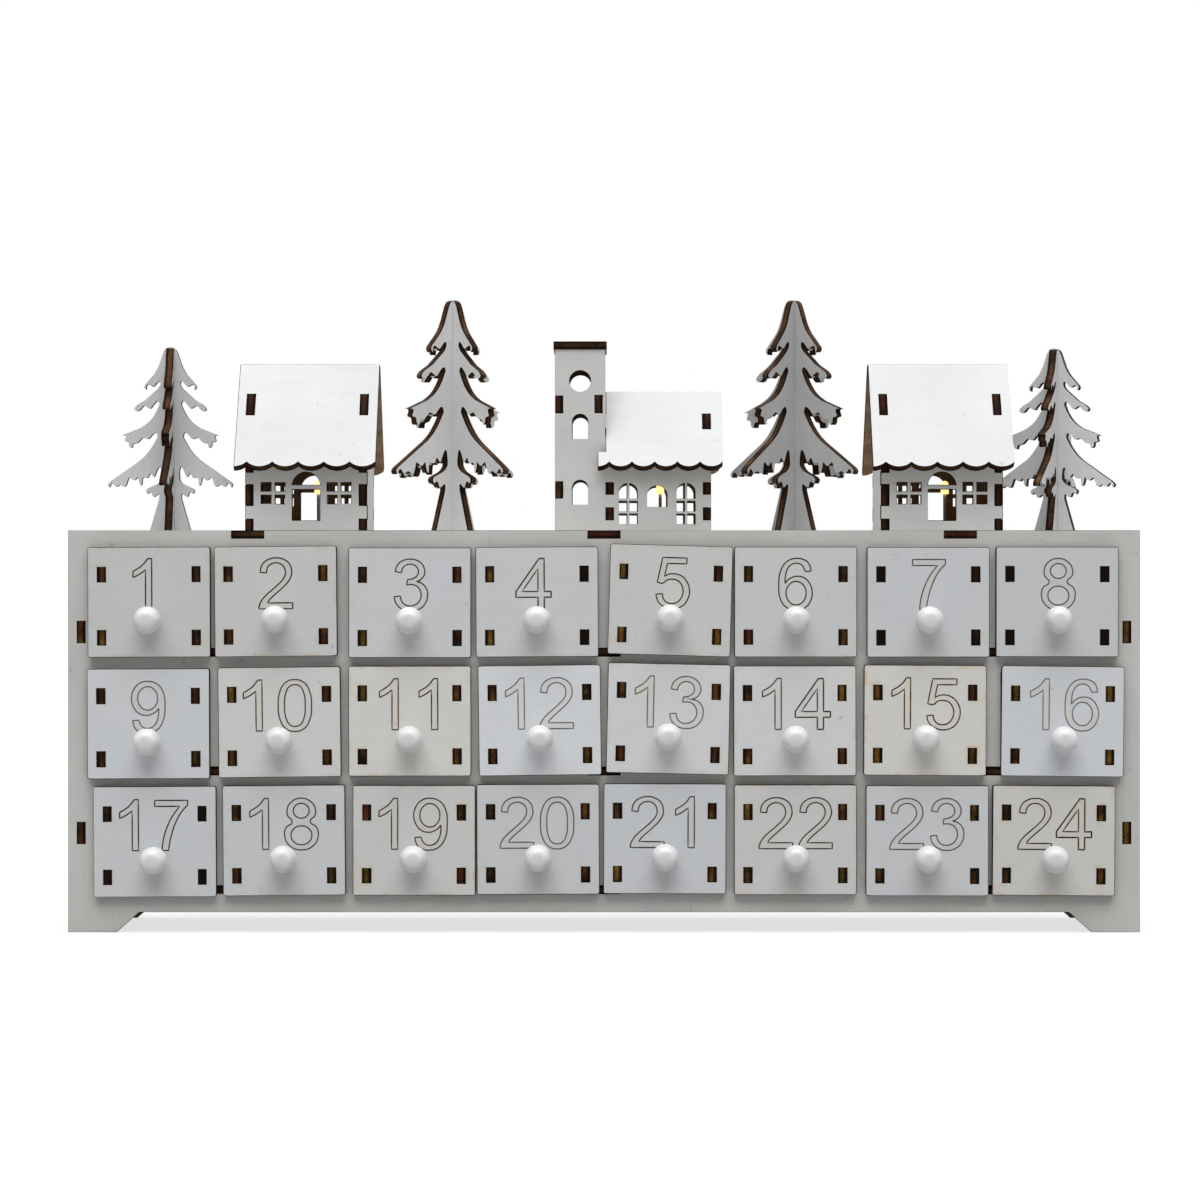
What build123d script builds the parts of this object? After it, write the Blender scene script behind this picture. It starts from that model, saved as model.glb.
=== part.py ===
"""A white-painted laser-cut advent calendar in plywood.

A shallow case on four feet holds twenty-four small drawers in three rows. A village stands on
its top: slot-together trees, two gabled houses and a church with a square tower. A bulb in each
building is fed by a battery box let into the case's back.
Millimetres, +Z up, the drawers open towards -Y. Lengths along Y are drawn from the front face of
the case, and every piece is moved at the end so that the whole is centred on Y.
"""

import os
from math import atan2, cos, radians, sin

from build123d import *

# Sheet and fits
SHEET = 3.0
KERF = 0.06
RUN = 0.2
OVERCUT = 1.0

# Case
CASE_WIDTH = 400.0
CASE_HEIGHT = 150.0
CASE_DEPTH = 62.0
FOOT_HEIGHT = 7.5
FOOT_FLAT = 18.0
FOOT_SLOPE = 8.5
SIDE_INSET = 3.4
SIDE_TAB = 8.0
SIDE_TAB_HEIGHT_SHARES = (0.747, 0.247)
TOP_TAB = 12.0
TOP_TAB_PLACE_SHARES = (-0.3325, 0.0, 0.3325)
SHELF_TAB = 12.0
DIVIDER_TAB = 10.0
DIVIDER_BACK_GAP = 2.4

# Drawer grid
COLUMNS = 8
ROWS = 3
EDGE_MARGIN = 7.6
TOP_MARGIN = 4.35
BOTTOM_MARGIN = 12.75
COLUMN_GAP = 2.5
ROW_GAP = 3.3
COLUMN_PITCH = (CASE_WIDTH - 2 * EDGE_MARGIN) / COLUMNS
ROW_PITCH = (CASE_HEIGHT - TOP_MARGIN - BOTTOM_MARGIN) / ROWS

# Drawers
FRONT_WIDTH = COLUMN_PITCH - COLUMN_GAP
FRONT_HEIGHT = ROW_PITCH - ROW_GAP
FRONT_CORNER = 0.8
BOX_INSET = 3.1
BOX_TOP_DROP = 3.8
BOX_BACK_GAP = 1.0
WINDOW_SIDE_GAP = 0.55
WINDOW_TOP_GAP = 0.8
FRONT_TAB = 5.5
UPPER_TAB_DROP = 7.4
LOWER_TAB_RISE = 4.6
FLOOR_TAB = 12.0
BACK_TAB = 10.0
KNOB_LENGTH = 10.0
KNOB_DIAMETER = 10.2
KNOB_NECK = 5.4
KNOB_FLAT = 5.6
KNOB_SPIGOT = 4.0
KNOB_DROP = 6.7
KNOB_BELLY_SHARE = 0.52

# Trees: the outline of one panel, as shares of its half width and of its height
SMALL_TREE_HEIGHT = 70.5
LARGE_TREE_HEIGHT = 88.4
SMALL_TREE_WIDTH = 47.8
LARGE_TREE_WIDTH = 60.0
TREE_TAB = 9.0
TREE_LAP_SHARE = 0.5
TREE_IS_LARGE = (False, True, True, False)
TREE_DEPTH_SHARES = (0.5, 0.5, 0.5, 0.613)
TREE_TURNS = (0.0, 44.0, -41.5, -24.0)
TREE_TOP_SHARES = (
    (0.0, 1.0), (0.067, 0.994), (0.112, 0.972), (0.168, 0.915), (0.249, 0.859), (0.381, 0.806),
    (0.416, 0.785), (0.387, 0.77),
)
TREE_SIDE_SHARES = (
    ((0.387, 0.77), (0.347, 0.797), (0.274, 0.787), (0.225, 0.804), (0.174, 0.817), (0.158, 0.801)),
    ((0.158, 0.801), (0.193, 0.778), (0.27, 0.754), (0.412, 0.711), (0.544, 0.682), (0.574, 0.665),
     (0.54, 0.654)),
    ((0.54, 0.654), (0.483, 0.662), (0.416, 0.683), (0.331, 0.668), (0.27, 0.689), (0.199, 0.708),
     (0.174, 0.69)),
    ((0.174, 0.69), (0.219, 0.655), (0.331, 0.599), (0.493, 0.56), (0.631, 0.541), (0.767, 0.523)),
    ((0.767, 0.523), (0.712, 0.513), (0.728, 0.492), (0.671, 0.485), (0.655, 0.463), (0.619, 0.456),
     (0.598, 0.475), (0.533, 0.482), (0.432, 0.51), (0.361, 0.503), (0.294, 0.524), (0.241, 0.537),
     (0.205, 0.514)),
    ((0.205, 0.514), (0.27, 0.472), (0.412, 0.408), (0.655, 0.345), (0.919, 0.282), (0.996, 0.252),
     (0.972, 0.241)),
    ((0.972, 0.241), (0.915, 0.261), (0.868, 0.245), (0.797, 0.255), (0.74, 0.245), (0.69, 0.268),
     (0.651, 0.294), (0.578, 0.28), (0.517, 0.296), (0.497, 0.268), (0.465, 0.251), (0.432, 0.294),
     (0.361, 0.294), (0.32, 0.317), (0.27, 0.299), (0.225, 0.325), (0.168, 0.352), (0.144, 0.33),
     (0.148, 0.282)),
    ((0.148, 0.282), (0.189, 0.264), (0.29, 0.246), (0.385, 0.223), (0.361, 0.206)),
    ((0.361, 0.206), (0.302, 0.211), (0.27, 0.19), (0.225, 0.197), (0.199, 0.204), (0.178, 0.179)),
)
TRUNK_FOOT_SHARE = 0.331

# Houses
HOUSE_WIDTH = 46.0
HOUSE_DEPTH = 40.0
HOUSE_WALL = 31.4
HOUSE_RIDGE = 62.4
HOUSE_EAVE_OVERHANG = 5.9
HOUSE_SIDE_OVERHANG = 3.5
HOUSE_FINGER_SHARES = ((0.0, 0.14), (0.306, 0.554), (0.704, 1.0))
HOUSE_TAB = 12.0
DOOR_WIDTH_SHARE = 0.228
DOOR_SILL_SHARE = 0.127
DOOR_HEAD_SHARE = 0.497
DOOR_SPRING_SHARE = 0.538
TRANSOM_SHARE = 0.057
PANE_WIDTH_SHARE = 0.196
PANE_HEIGHT_SHARE = 0.255
PANE_SILL_SHARE = 0.325
PANE_PLACE_SHARE = 0.27
GLAZING_BAR = 1.5
ROOF_TAB_LENGTH_SHARE = 0.2
ROOF_TAB_PLACE_SHARE = 0.4
SCALLOP_DEPTH = 2.1
SCALLOP_COUNT = 5

# Church
CHURCH_DEPTH = 30.0
TOWER_WIDTH = 19.0
NAVE_WIDTH = 40.0
TOWER_WALL = 68.7
NAVE_WALL = 28.7
NAVE_RIDGE = 51.9
NAVE_EAVE_OVERHANG = 4.0
NAVE_SIDE_OVERHANG = 4.2
EAVE_STRIP = 2.8
TOWER_INNER_INSET = 1.0
NAVE_JOINT_GAP = 0.15
CAP_OVERHANG = 0.6
TOWER_FINGER_SHARES = ((0.181, 0.273), (0.65, 0.744))
TOWER_SLOT_SHARES = ((0.65, 0.748),)
NAVE_FINGER_SHARES = ((0.146, 0.31), (0.484, 0.641))
ROUND_WINDOW_SHARE = 0.43
ROUND_WINDOW_HEIGHT_SHARE = 0.825
TOWER_ARCH_WIDTH_SHARE = 0.32
TOWER_ARCH_SHARES = ((0.506, 0.645), (0.145, 0.282))
LATTICE_WIDTH_SHARE = 0.1775
LATTICE_SHARES = (0.094, 0.634)
LATTICE_PLACE_SHARES = (0.217, 0.762)
LATTICE_BAR_SHARES = (0.28, 0.59)
LATTICE_BAR = 0.9
CENTRE_ARCH_WIDTH_SHARE = 0.192
CENTRE_ARCH_SHARES = (0.32, 0.603)
CENTRE_ARCH_PLACE_SHARE = 0.49
CHURCH_TAB = 5.3

# Village: shares of the spare width that go to each gap, from the left end of the case to the right
GAP_SHARES = (0.1936, 0.0548, 0.1173, 0.3201, 0.0974, 0.1047, 0.0214, 0.0907)

# Lights
HOUSE_LAMP_OFFSET = 3.0
NAVE_LAMP_SHARE = 0.525
LAMP_RISE = 14.5
LAMP_LENGTH = 5.0
LAMP_DIAMETER = 3.0
LAMP_HOLE = 4.0
LEAD_DIAMETER = 1.2
LEAD_GAP = 0.3
LEAD_BEND = 2.4
LEAD_SWEEP = 7.0
LEAD_DIP = 6.0
HOUSE_LEAD_BACK = 5.0
NAVE_LEAD_BACK = 8.5
HOUSE_LEAD_ENTRY = 12.0
NAVE_LEAD_ENTRY = 18.0

# Battery box in the back of the case, behind the top row of drawers
CELL_DIAMETER = 10.5
CELL_LENGTH = 44.5
CELL_GAP = 0.3
CELL_NUB = 1.2
CELL_NUB_DIAMETER = 3.8
CONTACT_ROOM = 2.4
CONTACT_SHEET = 0.4
CONTACT_WIDTH = 7.0
CONTACT_BUMP = 4.0
BOX_WALL = 1.2
BEZEL = 3.0
BEZEL_LAP = 3.0
LID_SHEET = 1.2
LID_LIP = 0.9
LID_GAP = 0.1
LID_LAP = 1.3
GRIP_WIDTH = 1.2
GRIP_LENGTH = 10.0
GRIP_PITCH = 2.4
GRIP_COUNT = 3
SWITCH_ROOM = 7.0
SWITCH_FACE = 1.0
SWITCH_PLATE = 1.5
SWITCH_HEIGHT = 9.0
SWITCH_TRAVEL = 3.0
NUB_WIDTH = 3.0
NUB_HEIGHT = 4.0
NUB_OUT = 0.8

# Planes of the battery box, from its outer face inwards
BEZEL_FACE = CASE_DEPTH + BEZEL
CHANNEL_TOP = BEZEL_FACE - LID_LIP
CHANNEL_FLOOR = CHANNEL_TOP - LID_SHEET - 2 * LID_GAP
BOX_INSIDE = CHANNEL_FLOOR - CELL_DIAMETER - 2 * CELL_GAP
BOX_FRONT = BOX_INSIDE - BOX_WALL

# Planes of the case
MIDDLE = CASE_DEPTH / 2
HALF_WIDTH = CASE_WIDTH / 2
INNER_HALF = HALF_WIDTH - SIDE_INSET - SHEET
BACK_INSIDE = CASE_DEPTH - SHEET
TOP_UNDERSIDE = CASE_HEIGHT - SHEET
FRONT_BACK = -RUN
FRONT_FACE = FRONT_BACK - SHEET
DIVIDER_BACK = BOX_FRONT - DIVIDER_BACK_GAP
BOX_DEPTH = DIVIDER_BACK - BOX_BACK_GAP - RUN - FRONT_BACK
CENTRE_SHIFT = -(FRONT_FACE - KNOB_LENGTH + CASE_DEPTH + BEZEL + NUB_OUT) / 2


def block(x0, x1, y0, y1, z0, z1):
    """A box between two corners."""
    corner = (Align.MIN, Align.MIN, Align.MIN)
    return Pos(x0, y0, z0) * Box(x1 - x0, y1 - y0, z1 - z0, align=corner)


def upright(face, y0, y1):
    """A face drawn in X and Z, made into a plate that spans y0 to y1."""
    plane = Plane(origin=(0, y1, 0), x_dir=(1, 0, 0), z_dir=(0, -1, 0))
    return extrude(plane * face, amount=y1 - y0)


def crosswise(face, x0, x1):
    """A face drawn in Y and Z, made into a plate that spans x0 to x1."""
    plane = Plane(origin=(x0, 0, 0), x_dir=(0, 1, 0), z_dir=(1, 0, 0))
    return extrude(plane * face, amount=x1 - x0)


def polygon(points):
    """A closed straight-sided face."""
    return make_face(Polyline(*points, close=True))


def front_to_back(shape):
    """The same piece on the other side of the case's middle plane."""
    return mirror(shape, about=Plane(origin=(0, MIDDLE, 0), z_dir=(0, 1, 0)))


def as_solids(shape):
    """The separate solids of a shape."""
    return list(shape.solids())


# Positions in the drawer grid
def column_centre(column):
    return (column - (COLUMNS - 1) / 2) * COLUMN_PITCH


def row_centre(row):
    return CASE_HEIGHT - TOP_MARGIN - ROW_PITCH / 2 - row * ROW_PITCH


def shelf_top(row):
    return row_centre(row) - FRONT_HEIGHT / 2 + SHEET


BOX_HEIGHT = FRONT_HEIGHT - SHEET - RUN - BOX_TOP_DROP
BOX_HALF = FRONT_WIDTH / 2 - BOX_INSET
LAP_Y = (SHEET + DIVIDER_BACK) / 2
DIVIDER_LINES = range(-(COLUMNS // 2) + 1, COLUMNS // 2)
SHELF_TAB_LINES = (DIVIDER_LINES[0], 0, DIVIDER_LINES[-1])


# Tabs of the case, as rectangles in X and Z
def side_tabs(side):
    outer = side * (HALF_WIDTH - SIDE_INSET)
    inner = outer - side * SHEET
    found = []
    for share in SIDE_TAB_HEIGHT_SHARES:
        z = CASE_HEIGHT * share
        found.append((min(outer, inner), max(outer, inner), z - SIDE_TAB / 2, z + SIDE_TAB / 2))
    return found


def shelf_tabs(row):
    top = shelf_top(row)
    lines = [line * COLUMN_PITCH for line in SHELF_TAB_LINES]
    return [(x - SHELF_TAB / 2, x + SHELF_TAB / 2, top - SHEET, top) for x in lines]


def top_tabs():
    places = [share * CASE_WIDTH for share in TOP_TAB_PLACE_SHARES]
    return [(x - TOP_TAB / 2, x + TOP_TAB / 2, TOP_UNDERSIDE, CASE_HEIGHT) for x in places]


def case_plate(y0, y1):
    """The outline shared by the front frame and the back panel, with its tab slots."""
    inner_foot = HALF_WIDTH - FOOT_FLAT
    slope_top = inner_foot - FOOT_SLOPE
    plate = upright(
        polygon([
            (-HALF_WIDTH, 0), (-inner_foot, 0), (-slope_top, FOOT_HEIGHT), (slope_top, FOOT_HEIGHT),
            (inner_foot, 0), (HALF_WIDTH, 0), (HALF_WIDTH, CASE_HEIGHT), (-HALF_WIDTH, CASE_HEIGHT),
        ]),
        y0, y1,
    )
    rows = [tab for row in range(ROWS) for tab in shelf_tabs(row)]
    cuts = []
    for x0, x1, z0, z1 in side_tabs(-1) + side_tabs(1) + rows:
        cuts.append(block(x0 - KERF, x1 + KERF, y0 - OVERCUT, y1 + OVERCUT, z0 - KERF, z1 + KERF))
    for x0, x1, z0, z1 in top_tabs():
        cuts.append(block(x0 - KERF, x1 + KERF, y0 - OVERCUT, y1 + OVERCUT, z0, z1 + OVERCUT))
    return plate - cuts


def front_frame():
    half = BOX_HALF + WINDOW_SIDE_GAP
    windows = []
    for row in range(ROWS):
        bottom = shelf_top(row)
        top = bottom + RUN + BOX_HEIGHT + WINDOW_TOP_GAP
        for column in range(COLUMNS):
            x = column_centre(column)
            windows.append(block(x - half, x + half, -OVERCUT, SHEET + OVERCUT, bottom, top))
    return case_plate(0, SHEET) - windows


def side_panel(side):
    outer = side * (HALF_WIDTH - SIDE_INSET)
    inner = outer - side * SHEET
    low, high = min(outer, inner), max(outer, inner)
    panel = block(low, high, SHEET, BACK_INSIDE, FOOT_HEIGHT, TOP_UNDERSIDE)
    for x0, x1, z0, z1 in side_tabs(side):
        panel += block(x0, x1, 0, CASE_DEPTH, z0, z1)
    ends = []
    for row in range(ROWS):
        top = shelf_top(row)
        y0, y1 = MIDDLE - SHELF_TAB / 2 - KERF, MIDDLE + SHELF_TAB / 2 + KERF
        ends.append(block(low - OVERCUT, high + OVERCUT, y0, y1, top - SHEET - KERF, top + KERF))
    return panel - ends


def shelf(row):
    top = shelf_top(row)
    bottom = top - SHEET
    board = block(-INNER_HALF, INNER_HALF, SHEET, BACK_INSIDE, bottom, top)
    for x0, x1, z0, z1 in shelf_tabs(row):
        board += block(x0, x1, 0, CASE_DEPTH, z0, z1)
    reach = INNER_HALF + SHEET
    board += block(-reach, reach, MIDDLE - SHELF_TAB / 2, MIDDLE + SHELF_TAB / 2, bottom, top)
    half = SHEET / 2 + KERF
    cuts = []
    for line in DIVIDER_LINES:
        x = line * COLUMN_PITCH
        if row == ROWS - 1:
            y0, y1 = LAP_Y - DIVIDER_TAB / 2 - KERF, LAP_Y + DIVIDER_TAB / 2 + KERF
        elif line in SHELF_TAB_LINES:
            y0, y1 = LAP_Y, DIVIDER_BACK + KERF
        else:
            y0, y1 = LAP_Y, CASE_DEPTH
        cuts.append(block(x - half, x + half, y0, y1, bottom - OVERCUT, top + OVERCUT))
    return board - cuts


def divider(line):
    x = line * COLUMN_PITCH
    x0, x1 = x - SHEET / 2, x + SHEET / 2
    foot = shelf_top(ROWS - 1)
    board = block(x0, x1, SHEET, DIVIDER_BACK, foot, TOP_UNDERSIDE)
    board += block(x0, x1, LAP_Y - DIVIDER_TAB / 2, LAP_Y + DIVIDER_TAB / 2, foot - SHEET, foot)
    laps = []
    for row in range(ROWS - 1):
        top = shelf_top(row)
        laps.append(block(x0 - OVERCUT, x1 + OVERCUT, 0, LAP_Y, top - SHEET - KERF, top + KERF))
    return board - laps


def drawer(column, row):
    """Front, two sides, back, floor and knob of one drawer."""
    x, z = column_centre(column), row_centre(row)
    low = shelf_top(row) + RUN
    high = low + BOX_HEIGHT
    rear = FRONT_BACK + BOX_DEPTH
    inside = BOX_HALF - SHEET
    spans = []
    upper = z + FRONT_HEIGHT / 2 - UPPER_TAB_DROP
    lower = z - FRONT_HEIGHT / 2 + LOWER_TAB_RISE
    spans.append((upper - FRONT_TAB, upper))
    spans.append((lower, lower + FRONT_TAB))
    face = Pos(x, z) * RectangleRounded(FRONT_WIDTH, FRONT_HEIGHT, FRONT_CORNER)
    front = upright(face, FRONT_FACE, FRONT_BACK)
    floor = block(x - inside, x + inside, FRONT_BACK, rear - SHEET, low, low + SHEET)
    back = block(x - inside, x + inside, rear - SHEET, rear, low, high)
    middle = (FRONT_BACK + rear - SHEET) / 2
    back_middle = (low + high) / 2
    sides = []
    for side in (-1, 1):
        edges = (x + side * inside, x + side * BOX_HALF)
        x0, x1 = min(edges), max(edges)
        wall = block(x0, x1, FRONT_BACK, rear, low, high)
        for z0, z1 in spans:
            wall += block(x0, x1, FRONT_FACE, FRONT_BACK, z0, z1)
            y0, y1 = FRONT_FACE - OVERCUT, FRONT_BACK + OVERCUT
            front -= block(x0 - KERF, x1 + KERF, y0, y1, z0 - KERF, z1 + KERF)
        y0, y1 = middle - FLOOR_TAB / 2, middle + FLOOR_TAB / 2
        floor += block(x0, x1, y0, y1, low, low + SHEET)
        wall -= block(x0 - OVERCUT, x1 + OVERCUT, y0 - KERF, y1 + KERF, low - OVERCUT, low + SHEET + KERF)
        z0, z1 = back_middle - BACK_TAB / 2, back_middle + BACK_TAB / 2
        back += block(x0, x1, rear - SHEET, rear, z0, z1)
        wall -= block(x0 - OVERCUT, x1 + OVERCUT, rear - SHEET, rear + OVERCUT, z0 - KERF, z1 + KERF)
        sides.append(wall)
    knob_z = z - KNOB_DROP
    bore = Pos(x, FRONT_FACE - OVERCUT, knob_z) * Rot(-90, 0, 0) * Cylinder(
        KNOB_SPIGOT / 2 + KERF, SHEET + 2 * OVERCUT, align=(Align.CENTER, Align.CENTER, Align.MIN)
    )
    front -= bore
    return [front, *sides, back, floor, Pos(x, FRONT_FACE, knob_z) * knob()]


def knob():
    """A turned ball with a flattened nose; its shoulder lies at the origin and it points to -Y."""
    nose, neck = KNOB_FLAT / 2, KNOB_NECK / 2
    belly = (KNOB_DIAMETER / 2, -KNOB_LENGTH * KNOB_BELLY_SHARE)
    rise = Polyline((0, SHEET), (KNOB_SPIGOT / 2, SHEET), (KNOB_SPIGOT / 2, 0), (neck, 0))
    curve = ThreePointArc((neck, 0), belly, (nose, -KNOB_LENGTH))
    close = Polyline((nose, -KNOB_LENGTH), (0, -KNOB_LENGTH), (0, SHEET))
    return revolve(make_face(rise.edges() + curve.edges() + close.edges()), Axis.Y)


# Trees
def tree_face(height, half_width):
    """One panel's outline standing on Z 0."""
    def at(side, shares):
        return (side * shares[0] * half_width, shares[1] * height)

    right = [at(1, shares) for shares in TREE_TOP_SHARES]
    left = [at(-1, shares) for shares in reversed(TREE_TOP_SHARES[1:])]
    edges = [Spline(*left, *right)]
    for side in (-1, 1):
        for run in TREE_SIDE_SHARES:
            edges.append(Spline(*[at(side, shares) for shares in run]))
        foot = (side * TRUNK_FOOT_SHARE * half_width, 0)
        edges.append(Line(at(side, TREE_SIDE_SHARES[-1][-1]), foot))
    edges.append(Line((-TRUNK_FOOT_SHARE * half_width, 0), (TRUNK_FOOT_SHARE * half_width, 0)))
    return make_face(edges)


def tree_panels(height, half_width):
    """Two crossed panels on Z 0, one slotted from below and one from above, with tabs below."""
    half, slot = SHEET / 2, SHEET / 2 + KERF
    panel = upright(tree_face(height, half_width), -half, half)
    panel += block(-TREE_TAB / 2, TREE_TAB / 2, -half, half, -SHEET, 0)
    meet = height * TREE_LAP_SHARE
    lower = panel - block(-slot, slot, -SHEET, SHEET, -SHEET - OVERCUT, meet)
    upper = panel - block(-slot, slot, -SHEET, SHEET, meet, height + OVERCUT)
    return [lower, Rot(0, 0, 90) * upper]


def tree_width(index):
    return LARGE_TREE_WIDTH if TREE_IS_LARGE[index] else SMALL_TREE_WIDTH


def tree_reach(index):
    """How far a tree's turned panels reach to either side."""
    turn = radians(TREE_TURNS[index])
    return tree_width(index) / 2 * max(abs(cos(turn)), abs(sin(turn)))


def village_places():
    """X of each tree's and house's middle and of the church's left edge, from left to right.

    The pieces keep their sizes, and the gaps between them share the rest of the case's width.
    """
    eaves = HOUSE_WIDTH / 2 + HOUSE_SIDE_OVERHANG
    church = TOWER_WIDTH + NAVE_WIDTH + NAVE_SIDE_OVERHANG
    trees = [(tree_reach(index), tree_reach(index)) for index in range(len(TREE_TURNS))]
    spans = [trees[0], (eaves, eaves), trees[1], (0, church), trees[2], (eaves, HOUSE_WIDTH / 2), trees[3]]
    spare = CASE_WIDTH - sum(left + right for left, right in spans)
    places = []
    x = -HALF_WIDTH
    for (left, right), share in zip(spans, GAP_SHARES):
        x += share * spare + left
        places.append(x)
        x += right
    return places


PLACES = village_places()
TREE_PLACES = PLACES[::2]
HOUSE_PLACES = (PLACES[1], PLACES[5])
TOWER_LEFT = PLACES[3]


def tree_place(index):
    y = TREE_DEPTH_SHARES[index] * CASE_DEPTH
    return Pos(TREE_PLACES[index], y, CASE_HEIGHT) * Rot(0, 0, TREE_TURNS[index])


def tree(index):
    height = LARGE_TREE_HEIGHT if TREE_IS_LARGE[index] else SMALL_TREE_HEIGHT
    return [tree_place(index) * panel for panel in tree_panels(height, tree_width(index) / 2)]


def tree_socket(index):
    """The cross-shaped slot that takes one tree's tabs, as cutting blocks."""
    long, short = TREE_TAB / 2 + KERF, SHEET / 2 + KERF
    bar = block(-long, long, -short, short, -SHEET - OVERCUT, OVERCUT)
    return [tree_place(index) * bar, tree_place(index) * Rot(0, 0, 90) * bar]


# Pitched roofs
class Roof:
    """One slope: the plane of its underside, from the ridge down to the eave at the front."""

    def __init__(self, depth, wall, ridge, overhang):
        self.half_depth = depth / 2
        self.wall = CASE_HEIGHT + wall
        self.ridge = CASE_HEIGHT + ridge
        self.pitch = atan2(ridge - wall, self.half_depth)
        self.length = (self.half_depth + overhang) / cos(self.pitch)
        self.tab_middle = self.length * ROOF_TAB_PLACE_SHARE
        self.tab_half = self.length * ROOF_TAB_LENGTH_SHARE / 2

    def point(self, along, out):
        """Y and Z of a point down the front slope from the ridge and out from the underside."""
        y = MIDDLE - along * cos(self.pitch) - out * sin(self.pitch)
        z = self.ridge - along * sin(self.pitch) + out * cos(self.pitch)
        return (y, z)

    def plate(self, face):
        """A face in X and minus the way down the slope, laid on the front slope."""
        plane = Plane(
            origin=(0, MIDDLE, self.ridge),
            x_dir=(1, 0, 0),
            z_dir=(0, -sin(self.pitch), cos(self.pitch)),
        )
        return extrude(plane * face, amount=SHEET)

    def gable_face(self):
        y0, y1 = MIDDLE - self.half_depth, MIDDLE + self.half_depth
        return polygon([
            (y0, CASE_HEIGHT), (y1, CASE_HEIGHT), (y1, self.wall), (MIDDLE, self.ridge), (y0, self.wall),
        ])

    def tab(self, x0, x1):
        """The tab on a gable's front slope that fills a slot in the roof."""
        near, far = self.tab_middle - self.tab_half, self.tab_middle + self.tab_half
        ends = [(near, -SHEET), (near, SHEET), (far, SHEET), (far, -SHEET)]
        corners = [self.point(along, out) for along, out in ends]
        return crosswise(polygon(corners), x0, x1)

    def slot(self, x0, x1):
        """The matching slot in the roof's outline."""
        width = x1 - x0 + 2 * KERF
        place = Pos((x0 + x1) / 2, -self.tab_middle)
        return place * Rectangle(width, 2 * (self.tab_half + KERF))


def scalloped_eave(x0, x1, low, depth):
    """Edges from the right end to the left: full arcs, then half an arc at the left."""
    pitch = (x1 - x0) / (SCALLOP_COUNT + 1 / 2)
    cusp = low + depth
    edges = []
    for index in range(SCALLOP_COUNT):
        right = x1 - index * pitch
        left = right - pitch
        edges.append(ThreePointArc((right, cusp), ((right + left) / 2, low), (left, cusp)))
    radius = (pitch * pitch / 4 + depth * depth) / (2 * depth)
    half_turn = atan2(pitch / 2, radius - depth) / 2
    between = (x0 + radius * sin(half_turn), low + radius - radius * cos(half_turn))
    edges.append(ThreePointArc((x1 - SCALLOP_COUNT * pitch, cusp), between, (x0, low)))
    return edges


def spans_of(shares, height):
    return [(CASE_HEIGHT + low * height, CASE_HEIGHT + high * height) for low, high in shares]


def finger_cuts(x0, x1, y0, y1, spans, top):
    """Notches in a wall for another panel's fingers; the topmost one may run out of the wall."""
    cuts = []
    for low, high in spans:
        ceiling = high + (OVERCUT if high >= top else KERF)
        cuts.append(block(x0 - KERF, x1 + KERF, y0 - OVERCUT, y1 + OVERCUT, low - KERF, ceiling))
    return cuts


def between_fingers(x0, x1, y0, y1, spans, bottom, top):
    """The wood taken from a crosswise panel's ends so that only its fingers reach through a wall."""
    cuts = []
    edge = bottom - OVERCUT
    for low, high in spans:
        if low > bottom:
            cuts.append(block(x0 - OVERCUT, x1 + OVERCUT, y0, y1, edge, low))
        edge = high
    if edge < top:
        cuts.append(block(x0 - OVERCUT, x1 + OVERCUT, y0, y1, edge, top))
    return cuts


def arch_cut(x, width, y0, y1, low, high):
    """A round-headed opening through a wall."""
    radius = width / 2
    spring = high - radius
    body = block(x - radius, x + radius, y0 - OVERCUT, y1 + OVERCUT, low, spring)
    head = upright(Pos(x, spring) * Circle(radius), y0 - OVERCUT, y1 + OVERCUT)
    return body + head


HOUSE = Roof(HOUSE_DEPTH, HOUSE_WALL, HOUSE_RIDGE, HOUSE_EAVE_OVERHANG)
NAVE = Roof(CHURCH_DEPTH, NAVE_WALL, NAVE_RIDGE, NAVE_EAVE_OVERHANG)


def house_openings(x, y0, y1):
    """Door with a transom and two four-pane windows, as cutting shapes through one wall."""
    base = CASE_HEIGHT
    width = DOOR_WIDTH_SHARE * HOUSE_WIDTH
    spring = base + DOOR_SPRING_SHARE * HOUSE_WALL
    door = arch_cut(x, width, y0, y1, base + DOOR_SILL_SHARE * HOUSE_WALL, spring + width / 2)
    head = base + DOOR_HEAD_SHARE * HOUSE_WALL
    bar_top = head + TRANSOM_SHARE * HOUSE_WALL
    door -= block(x - width, x + width, y0 - 2 * OVERCUT, y1 + 2 * OVERCUT, head, bar_top)
    cuts = as_solids(door)
    half = PANE_WIDTH_SHARE * HOUSE_WIDTH / 2
    low = base + PANE_SILL_SHARE * HOUSE_WALL
    high = low + PANE_HEIGHT_SHARE * HOUSE_WALL
    mid = (low + high) / 2
    bar = GLAZING_BAR / 2
    for side in (-1, 1):
        centre = x + side * PANE_PLACE_SHARE * HOUSE_WIDTH
        for x0, x1 in ((centre - half, centre - bar), (centre + bar, centre + half)):
            for z0, z1 in ((low, mid - bar), (mid + bar, high)):
                cuts.append(block(x0, x1, y0 - OVERCUT, y1 + OVERCUT, z0, z1))
    return cuts


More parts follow.
